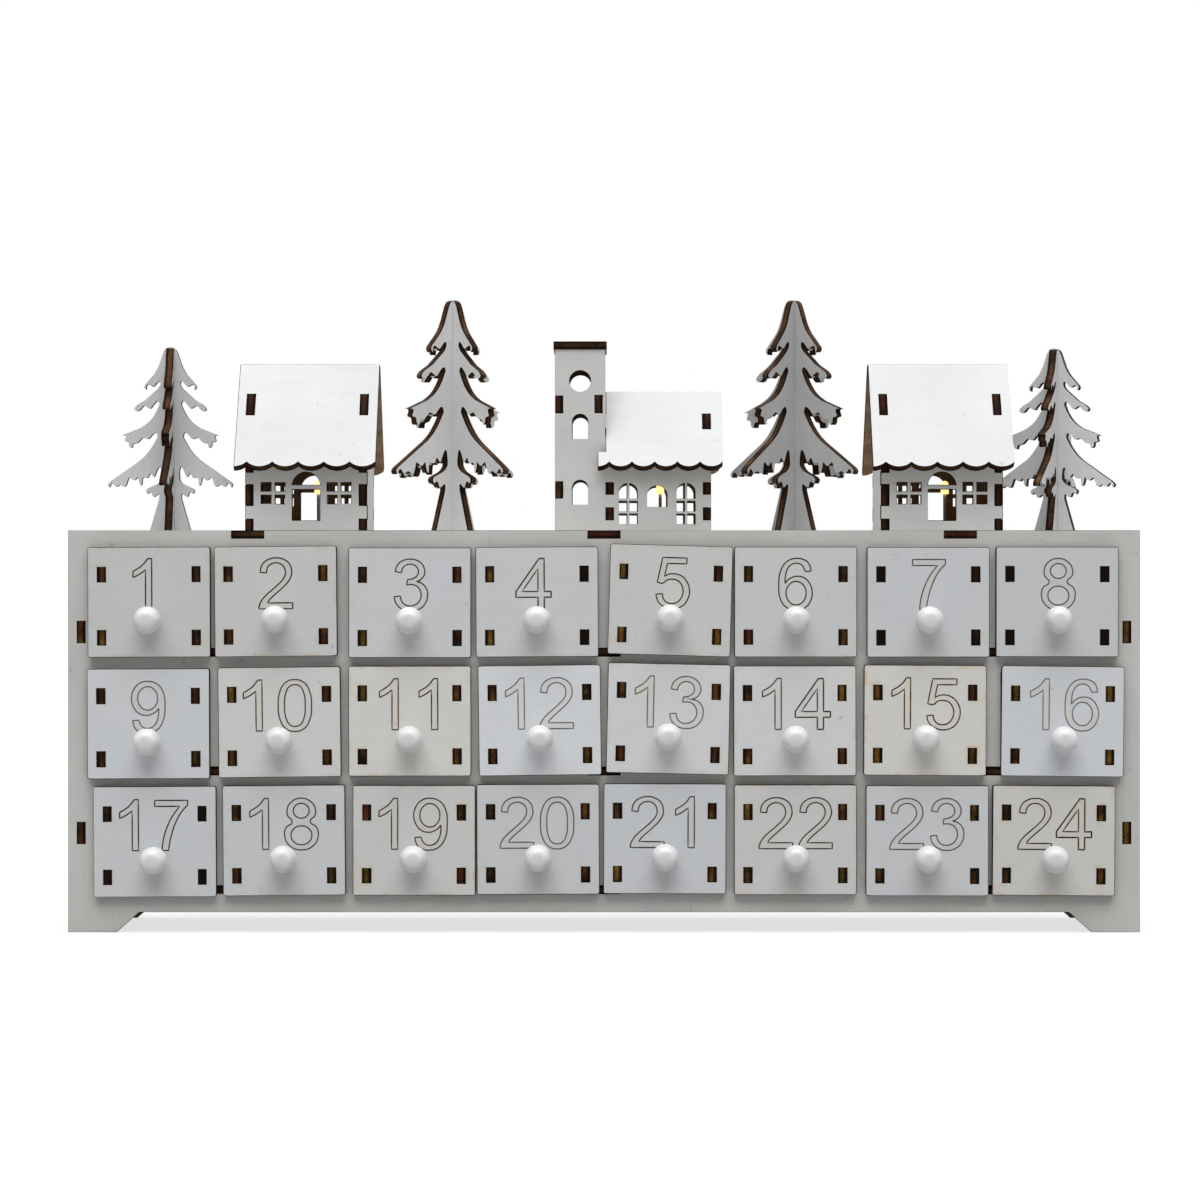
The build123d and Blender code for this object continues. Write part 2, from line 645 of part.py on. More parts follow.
def house(x):
    """Front wall, back wall, gables, front roof and back roof of one house."""
    x0, x1 = x - HOUSE_WIDTH / 2, x + HOUSE_WIDTH / 2
    y0 = MIDDLE - HOUSE_DEPTH / 2
    y1 = y0 + SHEET
    spans = spans_of(HOUSE_FINGER_SHARES, HOUSE_WALL)
    wall = block(x0, x1, y0, y1, CASE_HEIGHT, HOUSE.wall)
    wall += block(x - HOUSE_TAB / 2, x + HOUSE_TAB / 2, y0, y1, TOP_UNDERSIDE, CASE_HEIGHT)
    cuts = house_openings(x, y0, y1)
    gables = []
    tabs = ((x0, x0 + SHEET), (x1 - SHEET, x1))
    for left, right in tabs:
        cuts += finger_cuts(left, right, y0, y1, spans, HOUSE.wall)
        gable = crosswise(HOUSE.gable_face(), left, right)
        gaps = between_fingers(left, right, y0 - OVERCUT, y1, spans, CASE_HEIGHT, HOUSE.wall)
        gable -= gaps + [front_to_back(gap) for gap in gaps]
        tab = HOUSE.tab(left, right)
        gables += as_solids(gable + tab + front_to_back(tab))
    wall -= cuts
    edge0, edge1 = x0 - HOUSE_SIDE_OVERHANG, x1 + HOUSE_SIDE_OVERHANG
    low = -HOUSE.length
    edges = [
        Line((edge0, low), (edge0, 0)),
        Line((edge0, 0), (edge1, 0)),
        Line((edge1, 0), (edge1, low + SCALLOP_DEPTH)),
    ]
    outline = make_face(edges + scalloped_eave(edge0, edge1, low, SCALLOP_DEPTH))
    for left, right in tabs:
        outline -= HOUSE.slot(left, right)
    roof = HOUSE.plate(outline)
    return [wall], [front_to_back(wall)], gables, [roof], [front_to_back(roof)]


def house_sockets(x):
    y0 = MIDDLE - HOUSE_DEPTH / 2
    reach = HOUSE_TAB / 2 + KERF
    z0, z1 = TOP_UNDERSIDE - OVERCUT, CASE_HEIGHT + OVERCUT
    slot = block(x - reach, x + reach, y0 - KERF, y0 + SHEET + KERF, z0, z1)
    return [slot, front_to_back(slot)]


# Church: one plate is the front of both tower and nave
TOWER_RIGHT = TOWER_LEFT + TOWER_WIDTH
NAVE_RIGHT = TOWER_RIGHT + NAVE_WIDTH
CHURCH_FRONT = MIDDLE - CHURCH_DEPTH / 2
TOWER_INNER = (TOWER_RIGHT - TOWER_INNER_INSET - SHEET, TOWER_RIGHT - TOWER_INNER_INSET)
NAVE_GABLES = (
    (TOWER_RIGHT + NAVE_JOINT_GAP, TOWER_RIGHT + NAVE_JOINT_GAP + SHEET),
    (NAVE_RIGHT - SHEET, NAVE_RIGHT),
)
CENTRE_ARCH_PLACE = TOWER_RIGHT + CENTRE_ARCH_PLACE_SHARE * NAVE_WIDTH


def church_wall():
    y0, y1 = CHURCH_FRONT, CHURCH_FRONT + SHEET
    base, top = CASE_HEIGHT, CASE_HEIGHT + TOWER_WALL
    wall = block(TOWER_LEFT, TOWER_RIGHT, y0, y1, base, top)
    wall += block(TOWER_RIGHT, NAVE_RIGHT, y0, y1, base, NAVE.wall)
    for x in (CENTRE_ARCH_PLACE, (TOWER_LEFT + TOWER_RIGHT) / 2):
        wall += block(x - CHURCH_TAB / 2, x + CHURCH_TAB / 2, y0, y1, TOP_UNDERSIDE, base)
    outer = spans_of(TOWER_FINGER_SHARES, TOWER_WALL)
    inner = spans_of(TOWER_SLOT_SHARES, TOWER_WALL)
    nave = spans_of(NAVE_FINGER_SHARES, NAVE_WALL)
    cuts = finger_cuts(TOWER_LEFT, TOWER_LEFT + SHEET, y0, y1, outer, top)
    cuts += finger_cuts(*TOWER_INNER, y0, y1, inner, top)
    for left, right in NAVE_GABLES:
        cuts += finger_cuts(left, right, y0, y1, nave, NAVE.wall)
    centre = (TOWER_LEFT + TOWER_RIGHT) / 2
    round_window = Pos(centre, base + ROUND_WINDOW_HEIGHT_SHARE * TOWER_WALL) * Circle(
        ROUND_WINDOW_SHARE * TOWER_WIDTH / 2
    )
    cuts.append(upright(round_window, y0 - OVERCUT, y1 + OVERCUT))
    for low, high in spans_of(TOWER_ARCH_SHARES, TOWER_WALL):
        cuts.append(arch_cut(centre, TOWER_ARCH_WIDTH_SHARE * TOWER_WIDTH, y0, y1, low, high))
    ((low, high),) = spans_of((CENTRE_ARCH_SHARES,), NAVE_WALL)
    cuts.append(arch_cut(CENTRE_ARCH_PLACE, CENTRE_ARCH_WIDTH_SHARE * NAVE_WIDTH, y0, y1, low, high))
    ((low, high),) = spans_of((LATTICE_SHARES,), NAVE_WALL)
    bar = LATTICE_BAR / 2
    for share in LATTICE_PLACE_SHARES:
        x = TOWER_RIGHT + share * NAVE_WIDTH
        width = LATTICE_WIDTH_SHARE * NAVE_WIDTH
        opening = arch_cut(x, width, y0, y1, low, high)
        opening -= block(x - bar, x + bar, y0 - 2 * OVERCUT, y1 + 2 * OVERCUT, base, top)
        for level in LATTICE_BAR_SHARES:
            z = low + level * (high - low)
            opening -= block(x - width, x + width, y0 - 2 * OVERCUT, y1 + 2 * OVERCUT, z - bar, z + bar)
        cuts += as_solids(opening)
    return wall - cuts


def church_sockets():
    y0 = CHURCH_FRONT
    z0, z1 = TOP_UNDERSIDE - OVERCUT, CASE_HEIGHT + OVERCUT
    reach = CHURCH_TAB / 2 + KERF
    slots = []
    for x in (CENTRE_ARCH_PLACE, (TOWER_LEFT + TOWER_RIGHT) / 2):
        slots.append(block(x - reach, x + reach, y0 - KERF, y0 + SHEET + KERF, z0, z1))
    return slots + [front_to_back(slot) for slot in slots]


def tower_side(x0, x1, shares):
    """A tower wall that runs front to back, with fingers through the church's front and back."""
    y0 = CHURCH_FRONT
    y1 = MIDDLE + CHURCH_DEPTH / 2
    top = CASE_HEIGHT + TOWER_WALL
    wall = block(x0, x1, y0, y1, CASE_HEIGHT, top)
    spans = spans_of(shares, TOWER_WALL)
    gaps = between_fingers(x0, x1, y0 - OVERCUT, y0 + SHEET, spans, CASE_HEIGHT, top + OVERCUT)
    return wall - (gaps + [front_to_back(gap) for gap in gaps])


def nave_roof_tab():
    """The tab on the nave roof's edge that is let into the tower, as an outline on the slope."""
    left, right = TOWER_INNER[0], TOWER_RIGHT + SHEET
    return Pos((left + right) / 2, -NAVE.tab_middle) * Rectangle(right - left, 2 * NAVE.tab_half)


def tower_inner_wall():
    wall = tower_side(*TOWER_INNER, TOWER_SLOT_SHARES)
    near = NAVE.tab_middle - NAVE.tab_half - KERF
    far = NAVE.tab_middle + NAVE.tab_half + KERF
    corners = [
        NAVE.point(near, -KERF), NAVE.point(near, SHEET + KERF),
        NAVE.point(far, SHEET + KERF), NAVE.point(far, -KERF),
    ]
    slot = crosswise(polygon(corners), TOWER_INNER[0] - OVERCUT, TOWER_INNER[1] + OVERCUT)
    return wall - [slot, front_to_back(slot)]


def nave_gables():
    spans = spans_of(NAVE_FINGER_SHARES, NAVE_WALL)
    y0 = CHURCH_FRONT
    gables = []
    for left, right in NAVE_GABLES:
        gable = crosswise(NAVE.gable_face(), left, right)
        ceiling = NAVE.ridge + OVERCUT
        gaps = between_fingers(left, right, y0 - OVERCUT, y0 + SHEET, spans, CASE_HEIGHT, ceiling)
        gable -= gaps + [front_to_back(gap) for gap in gaps]
        if right == NAVE_RIGHT:
            tab = NAVE.tab(left, right)
            gable = gable + tab + front_to_back(tab)
        gables += as_solids(gable)
    return gables


def nave_roof():
    left = TOWER_RIGHT + NAVE_JOINT_GAP
    right = NAVE_RIGHT + NAVE_SIDE_OVERHANG
    strip_left = TOWER_RIGHT - EAVE_STRIP
    low = -NAVE.length
    strip_top = -(CHURCH_DEPTH / 2 + RUN) / cos(NAVE.pitch)
    edges = [
        Line((strip_left, low), (strip_left, strip_top)),
        Line((strip_left, strip_top), (left, strip_top)),
        Line((left, strip_top), (left, 0)),
        Line((left, 0), (right, 0)),
        Line((right, 0), (right, low + SCALLOP_DEPTH)),
    ]
    outline = make_face(edges + scalloped_eave(strip_left, right, low, SCALLOP_DEPTH))
    outline += nave_roof_tab()
    outline -= NAVE.slot(*NAVE_GABLES[1])
    return NAVE.plate(outline)


def tower_cap():
    y0, y1 = CHURCH_FRONT - CAP_OVERHANG, MIDDLE + CHURCH_DEPTH / 2 + CAP_OVERHANG
    z0 = CASE_HEIGHT + TOWER_WALL
    return block(TOWER_LEFT - CAP_OVERHANG, TOWER_RIGHT + CAP_OVERHANG, y0, y1, z0, z0 + SHEET)


# Lights and their battery box
LAMP_FOOT = CASE_HEIGHT + LAMP_RISE
LAMP_PLACES = (
    HOUSE_PLACES[0] + HOUSE_LAMP_OFFSET,
    TOWER_RIGHT + NAVE_LAMP_SHARE * NAVE_WIDTH,
    HOUSE_PLACES[1] + HOUSE_LAMP_OFFSET,
)
LEAD_LEVEL = TOP_UNDERSIDE - LEAD_GAP - LEAD_DIAMETER / 2
LEAD_ENTRIES = (
    (-HOUSE_LEAD_ENTRY, CASE_DEPTH - HOUSE_LEAD_BACK),
    (-NAVE_LEAD_ENTRY, CASE_DEPTH - NAVE_LEAD_BACK),
    (HOUSE_LEAD_ENTRY, CASE_DEPTH - HOUSE_LEAD_BACK),
)
CAVITY_HALF_X = CELL_LENGTH / 2 + CONTACT_ROOM
CAVITY_HALF_Z = CELL_DIAMETER + CELL_GAP * 3 / 2
BOX_MIDDLE = row_centre(0)
BOX_TOP = BOX_MIDDLE + CAVITY_HALF_Z + BOX_WALL
BOX_BOTTOM = BOX_MIDDLE - CAVITY_HALF_Z - BOX_WALL
BOX_RIGHT = CAVITY_HALF_X + BOX_WALL
BEZEL_RIGHT = BOX_RIGHT + BEZEL_LAP
CHANNEL_LEFT = -CAVITY_HALF_X - LID_LAP
CHANNEL_HALF = CAVITY_HALF_Z + LID_LAP
SWITCH_RIGHT = CHANNEL_LEFT - BOX_WALL
SWITCH_LEFT = SWITCH_RIGHT - SWITCH_ROOM
SWITCH_CENTRE = (SWITCH_LEFT + SWITCH_RIGHT) / 2
SWITCH_HALF = (SWITCH_HEIGHT + SWITCH_TRAVEL) / 2 + LID_GAP
BOX_LEFT = SWITCH_LEFT - BOX_WALL


def standing_cylinder(radius, height):
    return Cylinder(radius, height, align=(Align.CENTER, Align.CENTER, Align.MIN))


def lamp(x):
    radius = LAMP_DIAMETER / 2
    straight = LAMP_LENGTH - radius
    bulb = standing_cylinder(radius, straight) + Pos(0, 0, straight) * Sphere(radius)
    return Pos(x, MIDDLE, LAMP_FOOT) * bulb


def lead(x, entry):
    """One lead from its bulb down through the top, back under it and into the battery box."""
    start = (x, MIDDLE, LAMP_FOOT)
    entry_x, entry_y = entry
    corners = [(x, MIDDLE, LEAD_LEVEL), (x, entry_y, LEAD_LEVEL), (entry_x, entry_y, LEAD_LEVEL)]
    end = (entry_x, entry_y, BOX_TOP - BOX_WALL)
    path = FilletPolyline(start, *corners, end, radius=[LEAD_BEND, LEAD_SWEEP, LEAD_DIP])
    section = Plane(origin=start, z_dir=(0, 0, -1)) * Circle(LEAD_DIAMETER / 2)
    return sweep(section, path=path)


def lamp_holes():
    hole = standing_cylinder(LAMP_HOLE / 2, SHEET + 2 * OVERCUT)
    return [Pos(x, MIDDLE, TOP_UNDERSIDE - OVERCUT) * hole for x in LAMP_PLACES]


def battery_box():
    z = BOX_MIDDLE
    body = block(BOX_LEFT, BOX_RIGHT, BOX_FRONT, CASE_DEPTH, BOX_BOTTOM, BOX_TOP)
    low, high = BOX_BOTTOM - BEZEL_LAP, BOX_TOP + BEZEL_LAP
    body += block(BOX_LEFT - BEZEL_LAP, BEZEL_RIGHT, CASE_DEPTH, BEZEL_FACE, low, high)
    half = CAVITY_HALF_Z
    cavity = block(-CAVITY_HALF_X, CAVITY_HALF_X, BOX_INSIDE, BEZEL_FACE, z - half, z + half)
    half = CHANNEL_HALF
    open_end = BEZEL_RIGHT + OVERCUT
    channel = block(CHANNEL_LEFT, open_end, CHANNEL_FLOOR, CHANNEL_TOP, z - half, z + half)
    half = CHANNEL_HALF - LID_LIP
    outside = BEZEL_FACE + OVERCUT
    mouth = block(CHANNEL_LEFT + LID_LIP, open_end, CHANNEL_FLOOR, outside, z - half, z + half)
    half = SWITCH_HALF
    face = BEZEL_FACE - SWITCH_FACE
    room = block(SWITCH_LEFT, SWITCH_RIGHT, BOX_INSIDE, face, z - half, z + half)
    half = (NUB_HEIGHT + SWITCH_TRAVEL) / 2 + LID_GAP
    across = NUB_WIDTH / 2 + LID_GAP
    slot = block(SWITCH_CENTRE - across, SWITCH_CENTRE + across, BOX_INSIDE, outside, z - half, z + half)
    hole = standing_cylinder(LEAD_DIAMETER / 2 + KERF, BOX_WALL + OVERCUT)
    holes = [Pos(x, y, BOX_TOP - BOX_WALL) * hole for x, y in LEAD_ENTRIES]
    return body - [cavity, channel, mouth, room, slot, *holes]


def back_panel():
    opening = block(
        BOX_LEFT - KERF, BOX_RIGHT + KERF, BACK_INSIDE - OVERCUT, CASE_DEPTH + OVERCUT,
        BOX_BOTTOM - KERF, BOX_TOP + KERF,
    )
    return case_plate(BACK_INSIDE, CASE_DEPTH) - opening


def battery_lid():
    half = CHANNEL_HALF - LID_GAP
    inner, outer = CHANNEL_FLOOR + LID_GAP, CHANNEL_TOP - LID_GAP
    left = CHANNEL_LEFT + LID_GAP
    lid = block(left, BEZEL_RIGHT, inner, outer, BOX_MIDDLE - half, BOX_MIDDLE + half)
    for index in range(GRIP_COUNT):
        right = BEZEL_RIGHT - GRIP_PITCH * (index + 1)
        low, high = BOX_MIDDLE - GRIP_LENGTH / 2, BOX_MIDDLE + GRIP_LENGTH / 2
        lid += block(right - GRIP_WIDTH, right, outer, BEZEL_FACE, low, high)
    return lid


def switch_slider():
    """The slider at the lower end of its travel."""
    x, z = SWITCH_CENTRE, BOX_MIDDLE - SWITCH_TRAVEL / 2
    face = BEZEL_FACE - SWITCH_FACE - LID_GAP
    half_x, half_z = SWITCH_ROOM / 2 - LID_GAP, SWITCH_HEIGHT / 2
    plate = block(x - half_x, x + half_x, face - SWITCH_PLATE, face, z - half_z, z + half_z)
    half_x, half_z = NUB_WIDTH / 2, NUB_HEIGHT / 2
    return plate + block(x - half_x, x + half_x, face, BEZEL_FACE + NUB_OUT, z - half_z, z + half_z)


CELL_Y = BOX_INSIDE + CELL_GAP + CELL_DIAMETER / 2


def cell_z(side):
    return BOX_MIDDLE + side * (CELL_DIAMETER + CELL_GAP) / 2


def cell(side):
    """One cell lying along X, its raised end to the right for side 1 and to the left for side -1."""
    body = CELL_LENGTH - CELL_NUB
    shape = standing_cylinder(CELL_DIAMETER / 2, body)
    shape += Pos(0, 0, body) * standing_cylinder(CELL_NUB_DIAMETER / 2, CELL_NUB)
    return Pos(-side * CELL_LENGTH / 2, CELL_Y, cell_z(side)) * Rot(0, side * 90, 0) * shape


def contacts():
    """A linking plate at the left and two separate plates at the right, each with a raised bump."""
    half = CONTACT_WIDTH / 2
    y0, y1 = CELL_Y - half, CELL_Y + half
    wall, face = CAVITY_HALF_X, CAVITY_HALF_X - CONTACT_SHEET
    link = block(-wall, -face, y0, y1, cell_z(-1) - half, cell_z(1) + half)
    bump = standing_cylinder(CONTACT_BUMP / 2, CONTACT_ROOM - CONTACT_SHEET)
    plates = []
    for side in (-1, 1):
        z = cell_z(side)
        link += Pos(-face, CELL_Y, z) * Rot(0, 90, 0) * bump
        plate = block(face, wall, y0, y1, z - half, z + half)
        plates.append(plate + Pos(face, CELL_Y, z) * Rot(0, -90, 0) * bump)
    return [link, *plates]


def top_panel():
    panel = block(-HALF_WIDTH, HALF_WIDTH, SHEET, BACK_INSIDE, TOP_UNDERSIDE, CASE_HEIGHT)
    for x0, x1, z0, z1 in top_tabs():
        panel += block(x0, x1, 0, CASE_DEPTH, z0, z1)
    cuts = church_sockets() + lamp_holes()
    for index in range(len(TREE_TURNS)):
        cuts += tree_socket(index)
    for x in HOUSE_PLACES:
        cuts += house_sockets(x)
    return panel - cuts


def pieces():
    """Every node's solids, by node name."""
    nodes = {
        "front_frame": [front_frame()],
        "back_panel": [back_panel()],
        "left_side": [side_panel(-1)],
        "right_side": [side_panel(1)],
        "top_panel": [top_panel()],
        "drawer_shelves": [shelf(row) for row in range(ROWS)],
        "column_dividers": [divider(line) for line in DIVIDER_LINES],
    }
    for index, name in enumerate(("outer_left", "inner_left", "inner_right", "outer_right")):
        nodes["tree_" + name] = tree(index)
    for side, x in zip(("left", "right"), HOUSE_PLACES):
        parts = ("front_wall", "back_wall", "gables", "front_roof", "back_roof")
        for part, solids in zip(parts, house(x)):
            nodes[side + "_house_" + part] = solids
    wall, roof = church_wall(), nave_roof()
    nodes["church_front_wall"] = [wall]
    nodes["church_back_wall"] = [front_to_back(wall)]
    nodes["tower_outer_wall"] = [tower_side(TOWER_LEFT, TOWER_LEFT + SHEET, TOWER_FINGER_SHARES)]
    nodes["tower_inner_wall"] = [tower_inner_wall()]
    nodes["nave_gables"] = nave_gables()
    nodes["nave_front_roof"] = [roof]
    nodes["nave_back_roof"] = [front_to_back(roof)]
    nodes["tower_cap"] = [tower_cap()]
    nodes["led_bulbs"] = [lamp(x) for x in LAMP_PLACES]
    nodes["led_leads"] = [lead(x, entry) for x, entry in zip(LAMP_PLACES, LEAD_ENTRIES)]
    nodes["battery_box"] = [battery_box()]
    nodes["battery_lid"] = [battery_lid()]
    nodes["switch_slider"] = [switch_slider()]
    nodes["battery_cells"] = [cell(-1), cell(1)]
    nodes["battery_contacts"] = contacts()
    for row in range(ROWS):
        for column in range(COLUMNS):
            number = row * COLUMNS + column + 1
            nodes[f"drawer_{number:02d}"] = drawer(column, row)
    return nodes


os.makedirs("parts", exist_ok=True)
for name, solids in pieces().items():
    moved = []
    for shape in solids:
        moved += [Pos(0, CENTRE_SHIFT, 0) * solid for solid in shape.solids()]
    node = moved[0] if len(moved) == 1 else Compound(moved)
    export_step(node, f"parts/{name}.step")
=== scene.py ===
"""The looks of a white-painted plywood advent calendar, built around its CAD frame.

Each wooden node is taken up as a piece of its own: softened edges, painted faces, raw insides and
scorched cut edges. The drawer fronts get their scored numerals and sit a little unevenly.
"""

import math

import bpy
from mathutils import Matrix, Vector


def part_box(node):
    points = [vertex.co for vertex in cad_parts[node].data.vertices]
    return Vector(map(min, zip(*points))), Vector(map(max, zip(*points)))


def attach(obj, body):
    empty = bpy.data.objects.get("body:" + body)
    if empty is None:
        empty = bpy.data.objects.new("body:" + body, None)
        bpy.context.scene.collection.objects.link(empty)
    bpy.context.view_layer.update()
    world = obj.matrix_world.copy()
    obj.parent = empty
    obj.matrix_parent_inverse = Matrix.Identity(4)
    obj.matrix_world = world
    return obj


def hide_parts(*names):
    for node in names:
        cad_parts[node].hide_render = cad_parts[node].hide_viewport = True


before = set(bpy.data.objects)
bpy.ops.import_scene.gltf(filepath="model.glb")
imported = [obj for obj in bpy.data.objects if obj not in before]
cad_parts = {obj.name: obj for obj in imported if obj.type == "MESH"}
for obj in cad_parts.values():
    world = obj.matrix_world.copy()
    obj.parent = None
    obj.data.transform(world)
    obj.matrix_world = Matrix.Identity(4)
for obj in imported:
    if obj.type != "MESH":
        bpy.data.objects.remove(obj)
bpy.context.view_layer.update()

MM = 0.001

# Camera, light and floor
CAMERA_PLACE = Vector((-1.5, -1326.3, 124.0)) * MM
CAMERA_LENS = 104.5
KEY_STRENGTH = 3.3
KEY_TURN = (math.radians(20.0), 0.0, 0.0)
KEY_SOFTNESS = math.radians(60.0)
BACK_STRENGTH = 1.2
BACK_TURN = (math.radians(-58.0), 0.0, 0.0)
BACK_SOFTNESS = math.radians(80.0)
SKY_STRENGTH = 0.26
FLOOR_SEEN = 0.95
FLOOR_GLOW = 0.72
FLOOR_BOUNCE = 0.40
FLOOR_SIZE = 20.0
DIRECT_RAYS = ("Is Camera Ray", "Is Glossy Ray", "Is Transmission Ray")

# Taking up CAD nodes: which points are one, which faces are one plane, and which edges are softened
MERGE = 2e-6
FLAT_ANGLE = math.radians(1.0)
FRET_ANGLE = math.radians(4.0)
SMOOTH_ANGLE = math.radians(32.0)
SOFTENED_ABOVE = math.radians(40.0)
EDGE_SOFTENING = 0.14 * MM
CUT_SOFTENING = 0.22 * MM
MOULDED_SOFTENING = 0.25 * MM

# A face belongs to the flat of its sheet, and not to a cut edge, above this cosine
SHEET_FACE = 0.94

# Where the paler ply lies in a cut edge, from -1 to 1 through the sheet
PALE_PLY = 0.15

# How grain runs in a paint: noise is finer along the axes with the larger numbers
LEVEL_GRAIN = (1.0, 1.0, 9.0)
UPRIGHT_GRAIN = (9.0, 9.0, 1.0)
ROOF_GRAIN = (1.0, 6.0, 6.0)

# A drawer's solids by number: 0 is the front, 1 to 4 its box, then the knob and the numeral's groove
KNOB = 5
GROOVE = 6

# The rounding of a knob's nose, and how deep light goes into the lacquer
NOSE_STEP = 0.6 * MM
NOSE_STEPS = 3
NOSE_REACH = 0.9 * MM
NOSE_SMOOTHING = 8
NOSE_SHARE = 0.5
LACQUER_DEPTH = 3.0 * MM

# The copper-coloured band of a cell, from where it starts to where it is full
CELL_BAND = (12.0 * MM, 12.4 * MM)

# Each tree's tone, as lighter and darker copies of one white paint that paint in the light and shade on
# each tree, and the share of that tone in its darker patches
TREE_LIT_AND_SHADED_TONES = {
    "tree_outer_left": 0.62,
    "tree_inner_left": 0.69,
    "tree_inner_right": 0.46,
    "tree_outer_right": 0.67,
}
TREE_PATCHES = 0.9

# Numerals scored into the drawer fronts, and how far below a front's top edge they start in each row
COLUMNS = 8
NUMERAL_HEIGHT = 19.0 * MM
NUMERAL_DROPS = (4.3 * MM, 4.7 * MM, 4.8 * MM)
NUMERAL_ADVANCE_SHARE = 0.774
SCORE_RADIUS = 0.29 * MM
LINE_STEPS = 5
GRID_STEPS = 10
HANDLE_SHARE = 1 / 3
OVAL_POINTS = 8

# The width and height, as shares, of the box in which a six turns into a nine
TURNED_WIDTH = 0.770
TURNED_HEIGHT = 0.983

# The fronts' slots from a front's middle, how far they are brought in, and how far paint yellows by cuts
FIRST_LOW, FIRST_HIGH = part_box("drawer_01")
FRONT_HALF = ((FIRST_HIGH.x - FIRST_LOW.x) / 2, (FIRST_HIGH.z - FIRST_LOW.z) / 2)
SLOT_HALF = (1.5 * MM, 2.75 * MM)
SLOT_ACROSS = 18.2 * MM
SLOT_UP = 11.75 * MM
SLOT_MIDDLE = -1.4 * MM
SLOT_INSET = 0.55 * MM
SLOT_ROOM = 0.4 * MM
STAIN_REACH = 2.2 * MM


# Shader nodes as expressions
class Value:
    """A node's output. Arithmetic on it adds Math nodes to the same tree."""

    def __init__(self, nodes, output):
        self.nodes = nodes
        self.output = output

    def __add__(self, other):
        return self.nodes.maths("ADD", self, other)

    def __radd__(self, other):
        return self.nodes.maths("ADD", other, self)

    def __sub__(self, other):
        return self.nodes.maths("SUBTRACT", self, other)

    def __rsub__(self, other):
        return self.nodes.maths("SUBTRACT", other, self)

    def __mul__(self, other):
        return self.nodes.maths("MULTIPLY", self, other)

    def __abs__(self):
        return self.nodes.maths("ABSOLUTE", self)


class Nodes:
    """A node tree, with one method for any node and short forms for what repeats."""

    def __init__(self, tree):
        self.tree = tree

    def node(self, kind, settings=None, sockets=None, output=0):
        """Any node: its type, its settings, the values or links of its sockets and the output used."""
        made = self.tree.nodes.new(kind)
        for name, value in (settings or {}).items():
            setattr(made, name, value)
        for name, value in (sockets or {}).items():
            self.feed(made.inputs[name], value)
        return Value(self, made.outputs[output])

    def feed(self, inlet, value):
        if isinstance(value, Value):
            self.tree.links.new(value.output, inlet)
        else:
            inlet.default_value = value

    def maths(self, operation, *values):
        return self.node("ShaderNodeMath", {"operation": operation}, dict(enumerate(values)))

    def seen_directly(self):
        """One for rays from the camera, mirrors and glass, and zero for light that bounces."""
        rays = [self.node("ShaderNodeLightPath", output=name) for name in DIRECT_RAYS]
        return self.maths("MAXIMUM", self.maths("MAXIMUM", rays[0], rays[1]), rays[2])


class Finish(Nodes):
    """A material whose nodes feed one Principled shader."""

    def __init__(self, name, **constants):
        self.material = bpy.data.materials.new(name)
        self.material.use_nodes = True
        super().__init__(self.material.node_tree)
        self.shader = self.tree.nodes["Principled BSDF"]
        for socket, value in constants.items():
            self.shader.inputs[socket.replace("_", " ")].default_value = value
        self.place = self.node("ShaderNodeTexCoord", output="Object")

    def between(self, value, low, high):
        """Zero below low, one above high, and smooth in between."""
        sockets = {"Value": value, "From Min": low, "From Max": high}
        return self.node("ShaderNodeMapRange", {"interpolation_type": "SMOOTHSTEP"}, sockets)

    def mix(self, share, first, second):
        """A colour between two others."""
        return self.node("ShaderNodeMix", {"data_type": "RGBA"}, {0: share, 6: first, 7: second}, 2)

    def darken(self, colour, share):
        """A colour times a number."""
        level = self.node("ShaderNodeCombineXYZ", None, {0: share, 1: share, 2: share})
        return self.node("ShaderNodeVectorMath", {"operation": "MULTIPLY"}, {0: colour, 1: level})

    def noise(self, scale, stretch=(1.0, 1.0, 1.0), detail=2.0, roughness=0.5):
        """Noise from 0 to 1 on Object coordinates, finer along the axes with the larger stretch."""
        where = self.node("ShaderNodeMapping", None, {"Vector": self.place, "Scale": stretch})
        sockets = {"Vector": where, "Scale": scale, "Detail": detail, "Roughness": roughness}
        return self.node("ShaderNodeTexNoise", None, sockets)

    def attribute(self, name, output="Fac"):
        return self.node("ShaderNodeAttribute", {"attribute_name": name}, None, output)

    def axes(self, vector):
        """The X, Y and Z of a vector."""
        return [self.node("ShaderNodeSeparateXYZ", None, {0: vector}, axis) for axis in range(3)]

    def colour(self, value):
        self.feed(self.shader.inputs["Base Color"], value)

    def roughness(self, value):
        self.feed(self.shader.inputs["Roughness"], value)

    def bump(self, height, depth):
        sockets = {"Height": height, "Distance": depth}
        self.feed(self.shader.inputs["Normal"], self.node("ShaderNodeBump", None, sockets))


def grey(level):
    return (level, level, level, 1)


def painted(name, pale, shade, grain, wear=0.1):
    """Thin matt white paint rolled over plywood: mottled, with grain, dark specks and smudges."""
    finish = Finish(name, Specular_IOR_Level=0.35)
    mottle = finish.noise(28.0, detail=4.0)
    streaks = finish.noise(60.0, grain, 3.0)
    stipple = finish.noise(1400.0, detail=1.0)
    speck = finish.between(finish.noise(420.0, detail=0.0), 0.83, 0.87)
    smudge = finish.between(finish.noise(170.0, (1.6, 1.0, 0.8), 4.0, 0.65), 0.64, 0.78)
    tone = finish.mix(finish.between(mottle, 0.3, 0.7), shade, pale)
    level = 0.93 + streaks * 0.08 + stipple * 0.06 - speck * 0.2 - smudge * wear
    finish.colour(finish.darken(tone, level))
    finish.roughness(0.55 + stipple * 0.15)
    finish.bump(stipple * 0.6 + streaks * 0.4, 0.06 * MM)
    return finish


